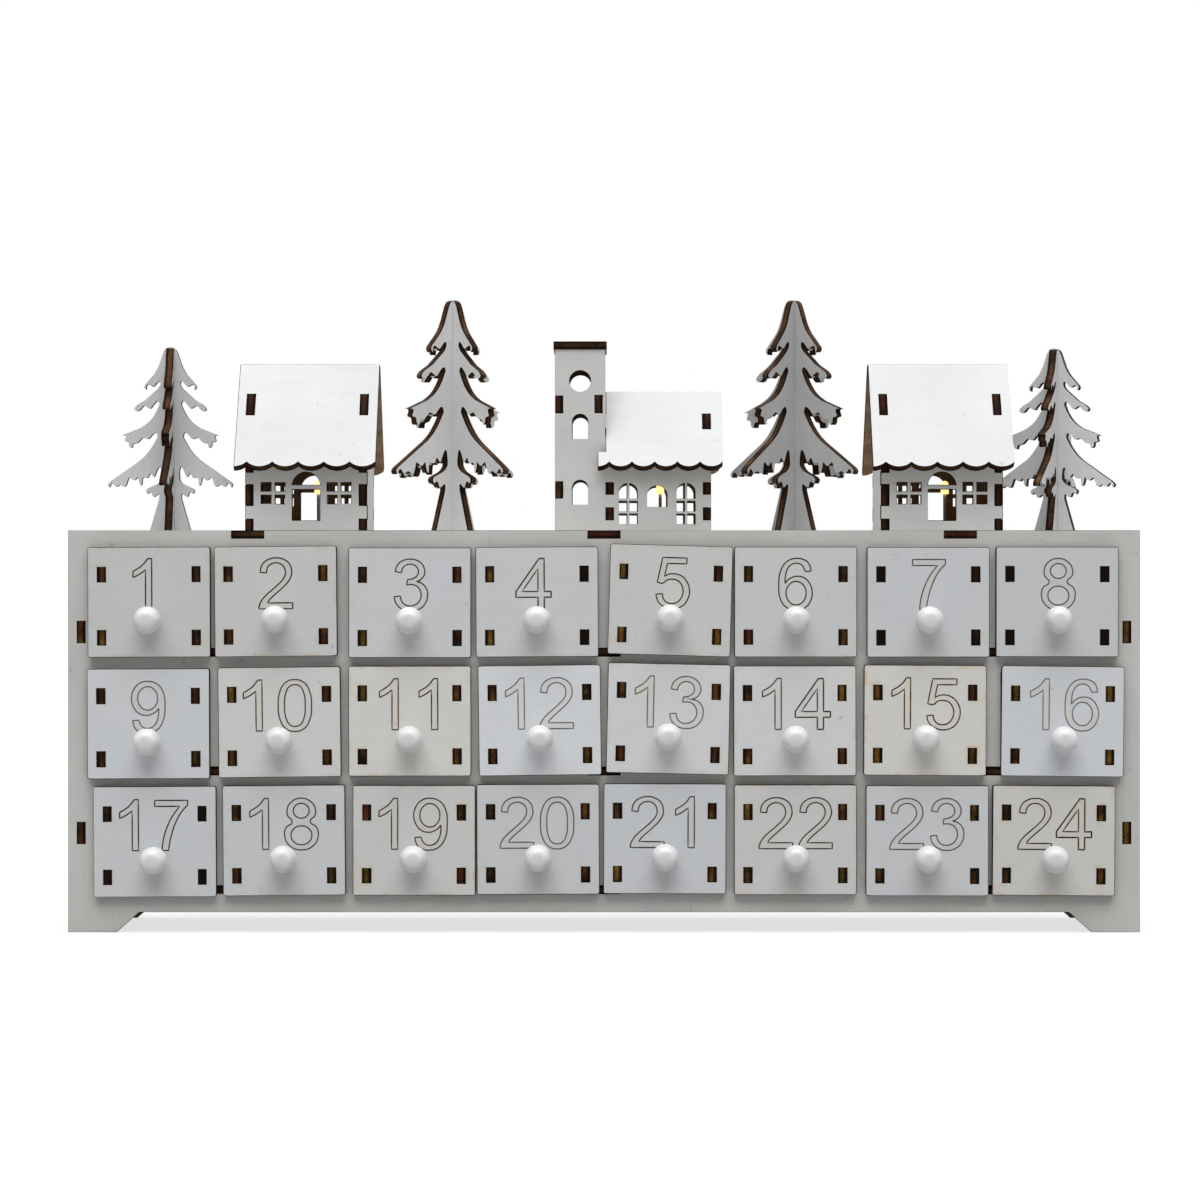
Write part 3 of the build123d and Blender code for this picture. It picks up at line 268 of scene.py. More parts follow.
def drawer_paint(name, cream):
    """The fronts' paint, as cream as each drawer's values say, yellowed by the cuts, and darkened by its
    pale value: mostly painted shade on the top and bottom rows.
    """
    finish = Finish(name, Specular_IOR_Level=0.35)
    warmth = finish.attribute("warmth")
    place, _, upright = finish.axes(finish.attribute("across", "Vector"))
    mottle = finish.noise(35.0, detail=4.0)
    stipple = finish.noise(1400.0, detail=1.0)
    streaks = finish.noise(60.0, LEVEL_GRAIN, 3.0)
    speck = finish.between(finish.noise(380.0, detail=0.0), 0.82, 0.87)
    smudge = finish.between(finish.noise(150.0, (1.0, 1.0, 1.7), 4.0, 0.65), 0.67, 0.80)
    cool, warm = (0.655, 0.675, 0.705, 1), (0.69, 0.68, 0.64, 1)
    tone = finish.mix(warmth + (mottle - 0.5) * 0.5, cool, warm)
    side = abs(abs(place) - SLOT_ACROSS)
    rise = abs(abs(upright - SLOT_MIDDLE) - SLOT_UP)
    near = finish.maths("MAXIMUM", side - SLOT_HALF[0], rise - SLOT_HALF[1])
    edge = finish.maths("MINIMUM", FRONT_HALF[0] - abs(place), FRONT_HALF[1] - abs(upright))
    halo = 1 - finish.between(finish.maths("MINIMUM", near, edge), 0.0, STAIN_REACH)
    blotch = finish.between(finish.noise(190.0), 0.42, 0.72)
    stain = halo * blotch * (0.1 + warmth * 0.7) + cream
    tone = finish.mix(stain, tone, (0.62, 0.50, 0.30, 1))
    level = 0.94 + streaks * 0.06 + stipple * 0.06 - speck * 0.2 - smudge * 0.15
    # pale darkens the whole front: painted shade on the top and bottom rows, and partly each front's own
    # tone
    finish.colour(finish.darken(tone, level * finish.attribute("pale")))
    finish.roughness(0.5 + stipple * 0.15)
    finish.bump(stipple * 0.6 + streaks * 0.4, 0.05 * MM)
    return finish


def scorched(name, dark, light, gold):
    """A laser-cut edge: charred, and paler in its middle ply where a drawer's char leaves it so."""
    finish = Finish(name, Specular_IOR_Level=0.08)
    ply = abs(finish.attribute("ply") - PALE_PLY)
    streak = finish.noise(900.0, detail=2.0)
    patch = finish.noise(120.0, detail=3.0)
    middle = 1 - finish.between(ply, 0.25, 0.8)
    bare = 1 - finish.attribute("char")
    share = middle * (0.45 + (streak - 0.5) + (patch - 0.5) * 2.2) * bare
    brown = finish.mix(finish.between(finish.noise(70.0), 0.46, 0.6), light, gold)
    finish.colour(finish.mix(share, dark, brown))
    finish.roughness(0.75 + streak * 0.2)
    finish.bump(streak, 0.08 * MM)
    return finish


def raw_ply(name):
    """Unpainted birch ply with darker grain."""
    finish = Finish(name, Specular_IOR_Level=0.3)
    figure = finish.noise(45.0, (1.0, 1.0, 7.0), 5.0, 0.6)
    pores = finish.noise(500.0, (0.25, 1.0, 1.0), 2.0)
    tone = finish.mix(finish.between(figure, 0.3, 0.7), (0.30, 0.19, 0.095, 1), (0.46, 0.32, 0.18, 1))
    finish.colour(finish.darken(tone, 0.86 + pores * 0.25))
    finish.roughness(0.65 + pores * 0.2)
    finish.bump(pores * 0.5 + figure * 0.5, 0.08 * MM)
    return finish


def knob_paint(name):
    """White lacquer on the turned knobs that lets light in a little, with a faint orange-peel."""
    finish = Finish(
        name,
        Specular_IOR_Level=0.7,
        Subsurface_Weight=1.0,
        Subsurface_Radius=(1.0, 1.0, 1.0),
        Subsurface_Scale=LACQUER_DEPTH,
    )
    peel = finish.noise(600.0, detail=1.0)
    dust = finish.noise(90.0, detail=3.0)
    tone = finish.mix(finish.between(dust, 0.25, 0.75), grey(0.69), grey(0.74))
    finish.colour(finish.darken(tone, 0.97 + peel * 0.05))
    finish.roughness(0.36 + peel * 0.10)
    finish.bump(peel, 0.05 * MM)
    return finish


def scored_line(name):
    """The line of a numeral, from faint to dark as its drawer's burn says, golden on cream fronts."""
    finish = Finish(name, Specular_IOR_Level=0.1)
    patch = finish.noise(260.0, detail=2.0)
    tone = finish.mix(finish.attribute("burn"), (0.30, 0.29, 0.28, 1), (0.018, 0.010, 0.004, 1))
    gold = finish.between(patch, 0.38, 0.62) * finish.attribute("warmth")
    tone = finish.mix(gold, tone, (0.15, 0.066, 0.010, 1))
    finish.colour(finish.darken(tone, 0.7 + patch * 0.6))
    finish.roughness(0.8 + patch * 0.15)
    return finish


def plastic(name, colour):
    """Moulded plastic with a fine spark-eroded texture."""
    finish = Finish(name, Specular_IOR_Level=0.4)
    spark = finish.noise(900.0, detail=2.0)
    flow = finish.noise(40.0, detail=2.0)
    finish.colour(finish.darken(colour, 0.93 + flow * 0.08 + spark * 0.05))
    finish.roughness(0.42 + spark * 0.2)
    finish.bump(spark, 0.05 * MM)
    return finish


def steel(name):
    """Thin sprung steel with rolling marks."""
    finish = Finish(name, Metallic=1.0)
    marks = finish.noise(300.0, (1.0, 1.0, 12.0), 2.0)
    finish.colour(finish.mix(marks, (0.50, 0.50, 0.49, 1), (0.68, 0.68, 0.67, 1)))
    finish.roughness(0.28 + marks * 0.15)
    return finish


def cell_wrap(name):
    """The cells' plain dark sleeve, with a copper-coloured band at one end."""
    finish = Finish(name, Specular_IOR_Level=0.5)
    along = finish.axes(finish.place)[0]
    scuff = finish.noise(220.0, (0.3, 1.0, 1.0), 3.0)
    band = finish.between(along, *CELL_BAND)
    tone = finish.mix(band, (0.045, 0.045, 0.05, 1), (0.45, 0.23, 0.10, 1))
    finish.colour(finish.darken(tone, 0.85 + scuff * 0.3))
    finish.roughness(0.22 + scuff * 0.2)
    return finish


def bulb_glow(name):
    """A small clear bulb lit warm, with a faint haze."""
    finish = Finish(name, Specular_IOR_Level=0.5, Emission_Strength=1.6)
    haze = finish.noise(900.0, detail=1.0)
    finish.colour(finish.mix(haze, (0.95, 0.80, 0.52, 1), (1.0, 0.90, 0.66, 1)))
    inside = finish.mix(haze, (1.0, 0.52, 0.14, 1), (1.0, 0.70, 0.30, 1))
    finish.feed(finish.shader.inputs["Emission Color"], inside)
    finish.roughness(0.12 + haze * 0.1)
    return finish


def insulation(name):
    """The leads' soft pale insulation."""
    finish = Finish(name, Specular_IOR_Level=0.35)
    wear = finish.noise(350.0, detail=3.0)
    finish.colour(finish.mix(wear, (0.62, 0.60, 0.54, 1), (0.76, 0.74, 0.68, 1)))
    finish.roughness(0.45 + wear * 0.2)
    return finish


# Camera, light, floor and background
def view_and_light():
    """The photograph's camera, a soft sun in front and one behind, and a sky that looks white."""
    scene = bpy.context.scene
    scene.view_settings.view_transform = "Standard"
    bpy.ops.object.camera_add(location=CAMERA_PLACE, rotation=(math.pi / 2, 0, 0))
    camera = bpy.context.object
    camera.data.lens = CAMERA_LENS
    scene.camera = camera
    for turn, strength, softness in (
        (KEY_TURN, KEY_STRENGTH, KEY_SOFTNESS),
        (BACK_TURN, BACK_STRENGTH, BACK_SOFTNESS),
    ):
        bpy.ops.object.light_add(type="SUN", rotation=turn)
        lamp = bpy.context.object.data
        lamp.energy = strength
        lamp.angle = softness
    world = bpy.data.worlds.new("pale studio")
    scene.world = world
    world.use_nodes = True
    sky = Nodes(world.node_tree)
    background = world.node_tree.nodes["Background"]
    background.inputs["Color"].default_value = (1, 1, 1, 1)
    sky.feed(background.inputs["Strength"], SKY_STRENGTH + sky.seen_directly() * (1 - SKY_STRENGTH))


def floor():
    """A floor that looks white and keeps the shadow, but throws back less light than white would."""
    bpy.ops.mesh.primitive_plane_add(size=FLOOR_SIZE)
    ground = bpy.context.object
    ground.name = "pale_floor"
    material = bpy.data.materials.new("pale floor")
    material.use_nodes = True
    nodes = Nodes(material.node_tree)
    bounce = nodes.node("ShaderNodeBsdfDiffuse", None, {"Color": grey(FLOOR_BOUNCE)})
    pale = nodes.node("ShaderNodeBsdfDiffuse", None, {"Color": grey(FLOOR_SEEN)})
    white = nodes.node("ShaderNodeEmission", None, {"Color": grey(1.0)})
    seen = nodes.node("ShaderNodeMixShader", None, {0: FLOOR_GLOW, 1: pale, 2: white})
    both = nodes.node("ShaderNodeMixShader", None, {0: nodes.seen_directly(), 1: bounce, 2: seen})
    nodes.feed(material.node_tree.nodes["Material Output"].inputs["Surface"], both)
    ground.data.materials.append(material)


# Taking up CAD nodes as pieces
def only(piece):
    """Makes one object the selected and active one."""
    bpy.ops.object.select_all(action="DESELECT")
    piece.select_set(True)
    bpy.context.view_layer.objects.active = piece


def corners_of(points):
    """The lowest and highest corners of some points."""
    low = Vector(min(point[axis] for point in points) for axis in range(3))
    high = Vector(max(point[axis] for point in points) for axis in range(3))
    return low, high


def closed_solids(mesh):
    """The points and faces of each solid of a node. A solid ends where no edge is left open."""
    found = []
    places, points, faces, open_edges = {}, [], [], set()
    for face in mesh.polygons:
        corners = []
        for index in face.vertices:
            point = mesh.vertices[index].co
            key = tuple(round(value / MERGE) for value in point)
            if key not in places:
                places[key] = len(points)
                points.append(point.copy())
            corners.append(places[key])
        faces.append(corners)
        for start, end in zip(corners, corners[1:] + corners[:1]):
            if (end, start) in open_edges:
                open_edges.remove((end, start))
            else:
                open_edges.add((start, end))
        if not open_edges:
            found.append((points, faces))
            places, points, faces = {}, [], []
    return found


def shells(name, solids, slots, flat_angle=FLAT_ANGLE):
    """A piece with solids as separate shells; each face's material index is its solid's number."""
    points, faces, owners = [], [], []
    for number, solid_points, solid_faces in solids:
        first = len(points)
        points += solid_points
        faces += [[first + corner for corner in face] for face in solid_faces]
        owners += [number] * len(solid_faces)
    mesh = bpy.data.meshes.new(name)
    mesh.from_pydata(points, [], faces)
    for _ in range(slots):
        mesh.materials.append(None)
    mesh.polygons.foreach_set("material_index", owners)
    piece = bpy.data.objects.new(name, mesh)
    bpy.context.scene.collection.objects.link(piece)
    only(piece)
    bpy.ops.object.mode_set(mode="EDIT")
    bpy.ops.mesh.select_all(action="SELECT")
    bpy.ops.mesh.dissolve_limited(angle_limit=flat_angle)
    bpy.ops.object.mode_set(mode="OBJECT")
    return piece


def softened(piece, width):
    """Takes the sharpness off a piece's edges."""
    only(piece)
    bevel = piece.modifiers.new("softened edges", "BEVEL")
    bevel.width = width
    bevel.segments = 1
    bevel.limit_method = "ANGLE"
    bevel.angle_limit = SOFTENED_ABOVE
    bpy.ops.object.modifier_apply(modifier=bevel.name)
    bpy.ops.object.shade_smooth_by_angle(angle=SMOOTH_ANGLE)
    return piece


def sheet_normals(mesh):
    """Each solid's number with the normal, middle and half thickness of its sheet."""
    largest, reach = {}, {}
    for face in mesh.polygons:
        number = face.material_index
        if number not in largest or face.area > largest[number].area:
            largest[number] = face
    for face in mesh.polygons:
        normal = largest[face.material_index].normal
        heights = [mesh.vertices[corner].co.dot(normal) for corner in face.vertices]
        low, high = reach.get(face.material_index, (math.inf, -math.inf))
        reach[face.material_index] = (min(low, *heights), max(high, *heights))
    found = {}
    for number, face in largest.items():
        low, high = reach[number]
        found[number] = (face.normal.copy(), (low + high) / 2, (high - low) / 2)
    return found


def stored(mesh, name, kind, values):
    """Keeps one value for each point under a name that a finish can read."""
    attribute = mesh.attributes.new(name, kind, "POINT")
    for item, value in zip(attribute.data, values):
        if kind == "FLOAT":
            item.value = value
        else:
            item.vector = value


def dressed(piece, finishes, pick):
    """Gives each face the finish that pick names from the face, its solid's number and where it looks."""
    mesh = piece.data
    sheets = sheet_normals(mesh)
    names = list(finishes)
    ply = [0.0] * len(mesh.vertices)
    chosen = []
    for face in mesh.polygons:
        normal, middle, half = sheets[face.material_index]
        for corner in face.vertices:
            ply[corner] = (mesh.vertices[corner].co.dot(normal) - middle) / half
        along = face.normal.dot(normal)
        outward = None if abs(along) < SHEET_FACE else normal * along
        chosen.append(names.index(pick(face, face.material_index, outward)))
    mesh.materials.clear()
    for name in names:
        mesh.materials.append(finishes[name].material)
    mesh.polygons.foreach_set("material_index", chosen)
    stored(mesh, "ply", "FLOAT", ply)
    mesh.update()


def wooden(node, paint, room=None, cut=None, width=CUT_SOFTENING, flat_angle=FLAT_ANGLE):
    """A wooden node as a piece. With a room, only the faces that look away from its middle are painted."""
    solids = [(number, *solid) for number, solid in enumerate(closed_solids(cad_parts[node].data))]
    piece = softened(shells("wood_" + node, solids, len(solids), flat_angle), width)

    def finish_of(face, number, outward):
        if outward is None:
            return "edge"
        if room is None or (face.center - room).dot(outward) > 0:
            return "paint"
        return "raw"

    dressed(piece, {"paint": paint, "raw": RAW, "edge": cut or EDGE}, finish_of)
    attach(piece, "case")
    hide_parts(node)


# Numerals: outlines as shares of the numeral's height, to the right and up from its lower left corner
def soft(across, up):
    """A point that an outline rounds."""
    return (across, up, "AUTO")


def sharp(across, up):
    """A point at which an outline turns a corner."""
    return (across, up, "FREE")


def oval(across, up, half_width, half_height):
    """An ellipse of soft points."""
    turns = [math.tau * step / OVAL_POINTS for step in range(OVAL_POINTS)]
    return [
        soft(across + half_width * math.cos(turn), up + half_height * math.sin(turn)) for turn in turns
    ]


def half_turned(contours):
    """The contours turned upside down about the numeral's middle."""
    return [
        [(TURNED_WIDTH - across, TURNED_HEIGHT - up, kind) for across, up, kind in contour]
        for contour in contours
    ]


ZERO = [
    [
        soft(0.058, 0.496), soft(0.105, 0.800), soft(0.220, 0.955), soft(0.385, 1.000),
        soft(0.550, 0.955), soft(0.665, 0.800), soft(0.713, 0.496), soft(0.665, 0.185),
        soft(0.550, 0.030), soft(0.385, -0.017), soft(0.220, 0.030), soft(0.105, 0.185),
    ],
    [
        soft(0.183, 0.492), soft(0.212, 0.745), soft(0.285, 0.868), soft(0.385, 0.900),
        soft(0.487, 0.868), soft(0.560, 0.745), soft(0.587, 0.492), soft(0.560, 0.240),
        soft(0.487, 0.115), soft(0.385, 0.083), soft(0.285, 0.115), soft(0.212, 0.240),
    ],
]
ONE = [
    [
        sharp(0.518, 0.000), sharp(0.396, 0.000), sharp(0.396, 0.779), soft(0.280, 0.695),
        sharp(0.151, 0.632), sharp(0.151, 0.750), soft(0.331, 0.867), sharp(0.440, 1.000),
        sharp(0.518, 1.000),
    ],
]
TWO = [
    [
        sharp(0.700, 0.117), sharp(0.700, 0.000), sharp(0.042, 0.000), soft(0.042, 0.050),
        soft(0.060, 0.105), soft(0.105, 0.185), soft(0.175, 0.265), soft(0.300, 0.375),
        soft(0.420, 0.480), soft(0.510, 0.575), soft(0.555, 0.660), soft(0.562, 0.725),
        soft(0.530, 0.825), soft(0.460, 0.885), soft(0.375, 0.903), soft(0.285, 0.880),
        soft(0.215, 0.815), sharp(0.188, 0.705), sharp(0.065, 0.718), soft(0.105, 0.865),
        soft(0.220, 0.965), soft(0.378, 1.000), soft(0.530, 0.970), soft(0.640, 0.880),
        soft(0.687, 0.722), soft(0.670, 0.630), soft(0.610, 0.525), soft(0.505, 0.415),
        soft(0.385, 0.310), soft(0.290, 0.225), soft(0.235, 0.165), sharp(0.210, 0.117),
    ],
]
THREE = [
    [
        sharp(0.058, 0.263), sharp(0.181, 0.279), soft(0.215, 0.165), soft(0.290, 0.100),
        soft(0.380, 0.083), soft(0.490, 0.115), soft(0.565, 0.195), soft(0.590, 0.300),
        soft(0.560, 0.410), soft(0.490, 0.480), soft(0.390, 0.505), sharp(0.310, 0.494),
        sharp(0.324, 0.602), soft(0.345, 0.601), soft(0.455, 0.630), soft(0.520, 0.690),
        soft(0.537, 0.755), soft(0.510, 0.835), soft(0.455, 0.885), soft(0.380, 0.903),
        soft(0.300, 0.885), soft(0.235, 0.830), sharp(0.200, 0.735), sharp(0.078, 0.757),
        soft(0.130, 0.890), soft(0.240, 0.975), soft(0.380, 1.000), soft(0.520, 0.970),
        soft(0.620, 0.885), soft(0.662, 0.755), soft(0.635, 0.660), soft(0.560, 0.585),
        sharp(0.500, 0.560), soft(0.610, 0.520), soft(0.690, 0.430), soft(0.718, 0.305),
        soft(0.670, 0.130), soft(0.550, 0.020), soft(0.380, -0.017), soft(0.200, 0.030),
        soft(0.095, 0.140),
    ],
]
FOUR = [
    [
        sharp(0.450, 0.000), sharp(0.450, 0.238), sharp(0.018, 0.238), sharp(0.018, 0.351),
        sharp(0.472, 0.996), sharp(0.572, 0.996), sharp(0.572, 0.351), sharp(0.707, 0.351),
        sharp(0.707, 0.238), sharp(0.572, 0.238), sharp(0.572, 0.000),
    ],
    [sharp(0.450, 0.351), sharp(0.450, 0.800), sharp(0.138, 0.351)],
]
FIVE = [
    [
        sharp(0.058, 0.260), sharp(0.186, 0.271), soft(0.215, 0.165), soft(0.285, 0.103),
        soft(0.375, 0.083), soft(0.490, 0.120), soft(0.565, 0.215), soft(0.592, 0.330),
        soft(0.560, 0.450), soft(0.490, 0.530), soft(0.370, 0.560), soft(0.270, 0.540),
        soft(0.195, 0.480), sharp(0.080, 0.494), sharp(0.177, 0.983), sharp(0.650, 0.983),
        sharp(0.650, 0.868), sharp(0.272, 0.868), sharp(0.221, 0.614), soft(0.300, 0.655),
        soft(0.405, 0.668), soft(0.550, 0.630), soft(0.670, 0.505), soft(0.718, 0.340),
        soft(0.680, 0.165), soft(0.580, 0.040), soft(0.375, -0.017), soft(0.210, 0.030),
        soft(0.105, 0.120),
    ],
]
SIX = [
    [
        sharp(0.571, 0.743), soft(0.530, 0.840), soft(0.480, 0.885), soft(0.395, 0.905),
        soft(0.290, 0.870), soft(0.215, 0.770), soft(0.182, 0.620), sharp(0.178, 0.510),
        soft(0.250, 0.590), soft(0.330, 0.632), soft(0.420, 0.650), soft(0.560, 0.615),
        soft(0.670, 0.490), soft(0.712, 0.325), soft(0.670, 0.150), soft(0.560, 0.025),
        soft(0.400, -0.017), soft(0.220, 0.030), soft(0.100, 0.170), soft(0.055, 0.480),
        soft(0.110, 0.800), soft(0.240, 0.955), soft(0.400, 1.000), soft(0.520, 0.985),
        soft(0.640, 0.905), sharp(0.692, 0.752),
    ],
    oval(0.395, 0.318, 0.195, 0.230),
]
SEVEN = [
    [
        sharp(0.066, 0.865), sharp(0.066, 0.983), sharp(0.711, 0.983), sharp(0.711, 0.888),
        soft(0.600, 0.770), soft(0.480, 0.560), soft(0.385, 0.280), sharp(0.330, 0.000),
        sharp(0.204, 0.000), soft(0.230, 0.210), soft(0.300, 0.445), soft(0.410, 0.670),
        sharp(0.552, 0.865),
    ],
]
EIGHT = [
    [
        soft(0.205, 0.525), soft(0.118, 0.660), soft(0.105, 0.745), soft(0.165, 0.900),
        soft(0.385, 1.000), soft(0.600, 0.905), soft(0.668, 0.745), soft(0.655, 0.660),
        soft(0.560, 0.540), soft(0.680, 0.430), soft(0.717, 0.285), soft(0.630, 0.075),
        soft(0.385, -0.017), soft(0.145, 0.075), soft(0.053, 0.285), soft(0.090, 0.430),
    ],
    oval(0.385, 0.752, 0.155, 0.145),
    oval(0.385, 0.270, 0.205, 0.185),
]
NINE = half_turned(SIX)
DIGITS = (ZERO, ONE, TWO, THREE, FOUR, FIVE, SIX, SEVEN, EIGHT, NINE)

# How each front sits and looks: mm to the right, mm up, degrees clockwise, and from 0 to 1
# or so how cream its paint is, how bright it is drawn (mostly painted shade on the top and bottom rows,
# partly each front's own tone) and how dark its numeral is burnt
SETTLING = {
    1: (-1.1, -0.3, -0.2, 0.45, 0.87, 1.00),
    2: (-2.0, 0.0, -0.5, 0.50, 0.89, 1.00),
    3: (-0.2, -0.5, 0.0, 0.20, 0.93, 0.80),
    4: (-0.9, -0.2, -0.3, 0.25, 0.93, 0.75),
    5: (0.6, 0.4, 1.6, 0.55, 0.91, 0.95),
    6: (-0.8, -0.2, 0.0, 0.40, 0.91, 0.90),
    7: (0.5, -0.3, 0.0, 0.15, 0.91, 0.50),
    8: (0.4, -0.2, 0.1, 0.20, 0.88, 0.50),
    9: (-1.3, -1.3, -0.2, 0.10, 0.97, 0.35),
    10: (-0.6, -0.7, -0.6, 0.50, 0.98, 0.85),
    11: (-0.2, -0.3, -0.1, 0.80, 1.00, 1.00),
    12: (0.1, 0.0, -0.7, 0.05, 1.07, 0.10),
    13: (-0.1, 0.6, 1.2, 0.35, 1.01, 0.15),
    14: (-1.1, -0.2, -0.1, 0.40, 1.00, 0.80),
    15: (-0.7, 0.0, 0.3, 0.95, 0.99, 1.00),
    16: (2.4, -0.4, 0.6, 0.00, 0.98, 0.10),
    17: (1.1, -0.9, -0.3, 0.15, 0.92, 0.95),
    18: (1.1, -0.4, -0.5, 0.20, 0.92, 0.75),
    19: (1.4, -0.4, 0.0, 0.60, 0.92, 0.85),
    20: (-0.5, 0.0, -0.2, 0.20, 0.91, 0.40),
    21: (-1.4, 0.2, 0.2, 0.05, 0.92, 0.75),
    22: (-0.9, -0.2, 0.0, 0.55, 0.91, 0.85),
    23: (0.1, -0.5, 0.1, 0.15, 0.91, 0.45),
    24: (-0.9, -0.5, 0.4, 0.80, 0.90, 1.00),
}

# The numerals scored off the middle of their fronts, mm to the right
OFF_MIDDLE = {
    1: -1.4, 2: 0.4, 3: 0.4, 4: -0.8, 5: 0.8, 7: 0.2, 8: 0.4, 10: -1.5, 11: 0.6, 12: -0.8, 13: -0.7,
    14: -0.2, 15: -0.6, 16: -0.2, 17: -1.2, 18: -0.8, 19: -1.2, 20: -0.2, 21: 1.1, 22: 0.4, 24: 0.6,
}

# The fronts whose tabs are burnt dark, from 0 to 1 on the left and on the right
CHARRED = {
    4: (0.0, 1.0), 7: (1.0, 0.7), 8: (1.0, 1.0), 11: (0.5, 0.0), 17: (0.7, 1.0), 18: (0.0, 0.6),
    20: (0.6, 0.0),
}


def numeral(number, corner):
    """The outlines of a drawer's number as one curve. corner is its lower left corner on the front."""
    curve = bpy.data.curves.new("numeral", "CURVE")
    curve.dimensions = "3D"
    curve.resolution_u = LINE_STEPS
    for place, digit in enumerate(str(number)):
        start = corner + Vector((place * NUMERAL_ADVANCE_SHARE * NUMERAL_HEIGHT, 0, 0))
        for contour in DIGITS[int(digit)]:
            spline = curve.splines.new("BEZIER")
            spline.bezier_points.add(len(contour) - 1)
            spline.use_cyclic_u = True
            places = [start + Vector((across, 0, up)) * NUMERAL_HEIGHT for across, up, _ in contour]
            for index, point in enumerate(spline.bezier_points):
                point.co = places[index]
                point.handle_left_type = contour[index][2]
                point.handle_right_type = contour[index][2]
                point.handle_left = places[index].lerp(places[index - 1], HANDLE_SHARE)
                after = places[(index + 1) % len(places)]
                point.handle_right = places[index].lerp(after, HANDLE_SHARE)
    drawn = bpy.data.objects.new("numeral", curve)
    bpy.context.scene.collection.objects.link(drawn)
    return drawn


def within(place, outline):
    """Whether a place on the front lies inside a numeral's strokes, by the lines crossed on its right."""
    crossed = 0
    for start, end in outline:
        if (start.z > place.z) != (end.z > place.z):
            share = (place.z - start.z) / (end.z - start.z)
            crossed += start.x + share * (end.x - start.x) > place.x
    return crossed % 2 == 1


def scored(plate, number, corner):
    """Scores a number's outlines into a front, and gives the outlines' straight steps."""
    drawn = numeral(number, corner)
    line = bpy.data.meshes.new_from_object(drawn)
    outline = [tuple(line.vertices[end].co.copy() for end in edge.vertices) for edge in line.edges]
    drawn.data.bevel_depth = SCORE_RADIUS
    drawn.data.bevel_resolution = 1
    only(drawn)
    bpy.ops.object.convert(target="MESH")
    for _ in range(GROOVE + 1):
        drawn.data.materials.append(None)
    drawn.data.polygons.foreach_set("material_index", [GROOVE] * len(drawn.data.polygons))
    only(plate)
    cut = plate.modifiers.new("scored numeral", "BOOLEAN")
    cut.operation = "DIFFERENCE"
    cut.solver = "MANIFOLD"
    cut.material_mode = "INDEX"
    cut.object = drawn
    bpy.ops.object.modifier_apply(modifier=cut.name)
    bpy.data.objects.remove(drawn)
    return outline


def gridded(plate, low, high):
    """Divides a front into small faces, so that no numeral's loop lies within one face."""
    only(plate)
    bpy.ops.object.mode_set(mode="EDIT")
    for step in range(1, GRID_STEPS):
        place = low + (high - low) * step / GRID_STEPS
        for direction in ((1, 0, 0), (0, 0, 1)):
            bpy.ops.mesh.select_all(action="SELECT")
            bpy.ops.mesh.bisect(plane_co=place, plane_no=direction)
    bpy.ops.object.mode_set(mode="OBJECT")


def chosen_edges(piece, wanted):
    """Selects the edges that wanted accepts by their two ends, and enters edit mode."""
    only(piece)
    bpy.ops.object.mode_set(mode="EDIT")
    bpy.ops.mesh.select_mode(type="EDGE")
    bpy.ops.mesh.select_all(action="DESELECT")
    bpy.ops.object.mode_set(mode="OBJECT")
    points = piece.data.vertices
    for edge in piece.data.edges:
        edge.select = wanted(*[points[end].co for end in edge.vertices])
    bpy.ops.object.mode_set(mode="EDIT")


def rounded_nose(knob):
    """Rounds off the edge of a knob's flat nose."""
    tip = corners_of([vertex.co for vertex in knob.data.vertices])[0].y
    chosen_edges(knob, lambda first, last: max(first.y, last.y) < tip + MERGE)
    bpy.ops.mesh.select_mode(type="FACE")
    for _ in range(NOSE_STEPS):
        bpy.ops.mesh.inset(thickness=NOSE_STEP)
    bpy.ops.object.mode_set(mode="OBJECT")
    chosen_edges(knob, lambda first, last: max(first.y, last.y) < tip + NOSE_REACH)
    bpy.ops.mesh.vertices_smooth(factor=NOSE_SHARE, repeat=NOSE_SMOOTHING)
    bpy.ops.object.mode_set(mode="OBJECT")
    return knob


def hearts_of(mesh):
    """The middle of each face's largest triangle, which always lies on the face."""
    mesh.calc_loop_triangles()
    largest, hearts = {}, {}
    for triangle in mesh.loop_triangles:
        if triangle.area >= largest.get(triangle.polygon_index, 0.0):
            largest[triangle.polygon_index] = triangle.area
            corners = [mesh.vertices[corner].co for corner in triangle.vertices]
            hearts[triangle.polygon_index] = sum(corners, Vector()) / 3
    return hearts


def narrowed(piece, middle, in_front_of=math.inf):
    """Brings a front's slots and the tabs in them a little closer to its middle."""
    for vertex in piece.data.vertices:
        across = vertex.co.x - middle.x
        at_slot = abs(abs(across) - SLOT_ACROSS) < SLOT_HALF[0] + SLOT_ROOM
        if at_slot and vertex.co.y < in_front_of:
            vertex.co.x -= math.copysign(SLOT_INSET, across)


def settled(piece, turn, in_front_of=math.inf):
    """Moves a piece's points as its front sits, or only those in front of a plane."""
    for vertex in piece.data.vertices:
        if vertex.co.y < in_front_of:
            vertex.co = turn @ vertex.co


def numeral_corner(number, low, high):
    """The lower left corner of the numeral on a front between two corners."""
    width = len(str(number)) * NUMERAL_ADVANCE_SHARE * NUMERAL_HEIGHT
    left = ((low + high) / 2).x - width / 2 + OFF_MIDDLE.get(number, 0.0) * MM
    drop = NUMERAL_DROPS[(number - 1) // COLUMNS]
    return Vector((left, low.y, high.z - drop - NUMERAL_HEIGHT))


